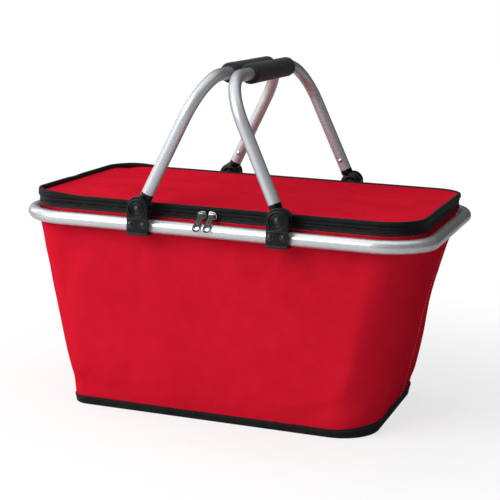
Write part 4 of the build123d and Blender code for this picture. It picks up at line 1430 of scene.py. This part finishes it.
def pull_tab(x0):
    """Flat plate with a square eye at the top, a round hole at the bottom and a raised spine."""
    half = [(2.55, 1.3), (2.75, -1.0), (3.05, -5.0), (4.25, -PULL_LENGTH + 7.4)]
    outline = [(-x, z) for x, z in half]
    outline += arc(0, -PULL_LENGTH + PULL_END_R, PULL_END_R,
                   np.linspace(PI - 0.25, 2 * PI + 0.25, 30))
    outline += half[::-1] + [(1.9, 2.0), (-1.9, 2.0)]
    hole = arc(0, -PULL_LENGTH + 4.7, 3.25, full_turn(32))
    eye = round_poly(rectangle(1.25, -1.25, 1.1), 0.45, 4)
    spine = round_poly([(-1.7, -14.6), (1.7, -14.6), (1.2, -3.2), (-1.2, -3.2)], 0.7, 4)

    def place(points):
        y, z = -points[:, 2], points[:, 1]
        return np.column_stack([
            x0 + points[:, 0],
            PULL_Y + y * math.cos(PULL_TILT) + z * math.sin(PULL_TILT),
            PULL_Z - y * math.sin(PULL_TILT) + z * math.cos(PULL_TILT)])

    surface = Surface().plate(outline, thick=1.15, bevel=0.3, place=place, holes=[hole, eye])
    return surface.plate(spine, thick=1.7, bevel=0.45, place=place)


for side_x, side, nickel in ((1, "right", NICKEL), (-1, "left", NICKEL_DULL)):
    x0 = joint_mm("pull_" + side + "_lift")[0]
    slider(side_x, x0).piece("slider_body_" + side, nickel, "nickel", "slider_" + side,
                             ("zip_slider_" + side,), angle=45)
    pull_tab(x0).piece("pull_tab_" + side, GUNMETAL, "dark_metal", "pull_" + side,
                       ("zip_pull_" + side,), angle=45)

# ================================================================ CAD nodes that stay
# node, material, width of the edge bevel in mm
for node, material, width in (("pivot_washers", DARK_STEEL, 0.15),
                              ("backing_plates", PLASTIC, 0.3),
                              ("rim_joint_sleeve", ALU, 0.0),
                              ("rim_joint_rivets", STEEL, 0.25),
                              ("zip_end_stops", NICKEL_DULL, 0.35)):
    part = frame["nodes"][node]
    for slot in part.material_slots:
        slot.material = material
    if not part.material_slots:
        part.data.materials.append(material)
    if width:
        edge = part.modifiers.new("edge", "BEVEL")
        edge.width = width * 0.001
        edge.segments = 3
        edge.limit_method = "ANGLE"
        edge.angle_limit = math.radians(40)


# ================================================================ floor
def floor_material():
    """White floor that glows to the camera away from the bag and is clear from below."""
    m = Material("floor_white")
    m.set(base=m.mix(m.remap(m.noise(m.ob, scale=40.0, detail=4.0)), rgba((0.80,) * 3),
                     rgba((0.83,) * 3)), rough=0.9, spec=0.1)
    glow = m.new("ShaderNodeEmission", {"Color": (1, 1, 1, 1), "Strength": 1.02})
    geometry = m.new("ShaderNodeNewGeometry")
    distance = m.new("ShaderNodeVectorMath", {0: geometry.outputs["Position"]},
                     operation="LENGTH")
    far = m.remap(distance.outputs["Value"], to=(0.7, 1.0))      # span in metres
    light_path = m.new("ShaderNodeLightPath")
    factor = m.times(light_path.outputs["Is Camera Ray"], far)
    lit = m.mix_shader(factor, m.surface.outputs[0], glow.outputs[0])
    clear = m.new("ShaderNodeBsdfTransparent")
    m.put(m.out.inputs[0], m.mix_shader(geometry.outputs["Backfacing"], lit, clear.outputs[0]))
    return m.material


FLOOR_HALF, FLOOR_Z = 6000.0, -0.4
floor_points = [(x, y, FLOOR_Z) for x, y in rectangle(FLOOR_HALF, -FLOOR_HALF, FLOOR_HALF)]
Surface().patch(floor_points, [(0, 1, 2, 3)]).build("floor", floor_material())


# ================================================================ lights and world
def area_light(name, location, target, width, depth, power):
    light = bpy.data.lights.new(name, "AREA")
    light.energy = power
    light.shape = "RECTANGLE"
    light.size = width
    light.size_y = depth
    holder = bpy.data.objects.new(name, light)
    scene.collection.objects.link(holder)
    holder.location = location
    holder.rotation_mode = "QUATERNION"
    holder.rotation_quaternion = (Vector(target) - Vector(location)).to_track_quat("-Z", "Y")
    return holder


BAG_MIDDLE = (0, 0, 0.2)
area_light("key", (-1.2, -1.6, 1.38), BAG_MIDDLE, width=1.9, depth=1.6, power=59)
area_light("top", (0.0, 0.1, 2.1), BAG_MIDDLE, width=3.0, depth=2.2, power=28)
area_light("rim_left", (-2.0, 0.5, 1.0), BAG_MIDDLE, width=0.8, depth=1.4, power=8)
# a weak light from below that reaches the underside only
under = area_light("under", (0.15, -0.5, -0.9), (0, 0, 0), width=1.2, depth=1.2, power=7)
underside = bpy.data.collections.new("underside_only")
underside.objects.link(bottom_fabric)
under.light_linking.receiver_collection = underside
under.light_linking.blocker_collection = underside

world = bpy.data.worlds.new("studio")
scene.world = world
world.use_nodes = True
sky = Nodes(world.node_tree)
world_out = sky.new("ShaderNodeOutputWorld")
ambient = sky.new("ShaderNodeBackground", {"Color": (0.9, 0.95, 1.0, 1), "Strength": 0.135})
backdrop = sky.new("ShaderNodeBackground", {"Color": (1, 1, 1, 1), "Strength": 1.0})
light_path = sky.new("ShaderNodeLightPath")
# reflections see a bright side, upper left, and a dark side
direction = sky.new("ShaderNodeTexCoord").outputs["Generated"]
bright_side = tuple(Vector((-0.85, -0.25, 0.35)).normalized())
towards = sky.new("ShaderNodeVectorMath", {0: direction, 1: bright_side},
                  operation="DOT_PRODUCT")
brightness = sky.new("ShaderNodeMapRange", {
    "Value": towards.outputs["Value"], "From Min": -0.05, "From Max": 0.95, "To Min": 0.09,
    "To Max": 1.5}, interpolation_type="SMOOTHSTEP")
reflected = sky.new("ShaderNodeBackground", {
    "Color": (0.94, 0.97, 1.0, 1), "Strength": brightness.outputs["Result"]})
seen = sky.mix_shader(light_path.outputs["Is Glossy Ray"], ambient.outputs[0],
                      reflected.outputs[0])
sky.put(world_out.inputs[0], sky.mix_shader(light_path.outputs["Is Camera Ray"], seen,
                                            backdrop.outputs[0]))
scene.view_settings.view_transform = "Standard"
scene.view_settings.look = "None"

# ================================================================ camera
# it circles the target: turned right from the front, raised, rolled, and its distance in metres
AZIMUTH, ELEVATION, ROLL = (math.radians(a) for a in (18.989, 12.046, 1.522))
DISTANCE = 1.6249
TARGET = Vector((0, 0, 0.16666))
lens = bpy.data.cameras.new("camera")
lens.lens = 99.87
lens.sensor_width = 36.0
lens.sensor_fit = "HORIZONTAL"
lens.shift_x = -0.00282
lens.shift_y = 0.01562
lens.clip_start, lens.clip_end = 0.05, 60
camera = bpy.data.objects.new("camera", lens)
scene.collection.objects.link(camera)
scene.camera = camera
back = Vector((math.sin(AZIMUTH) * math.cos(ELEVATION), -math.cos(AZIMUTH) * math.cos(ELEVATION),
               math.sin(ELEVATION)))
right = (-back).cross(Vector((0, 0, 1))).normalized()
up = right.cross(-back)
rolled_right = right * math.cos(ROLL) + up * math.sin(ROLL)
rolled_up = -right * math.sin(ROLL) + up * math.cos(ROLL)
pose = Matrix((rolled_right, rolled_up, back)).transposed().to_4x4()
pose.translation = TARGET + back * DISTANCE
camera.matrix_world = pose
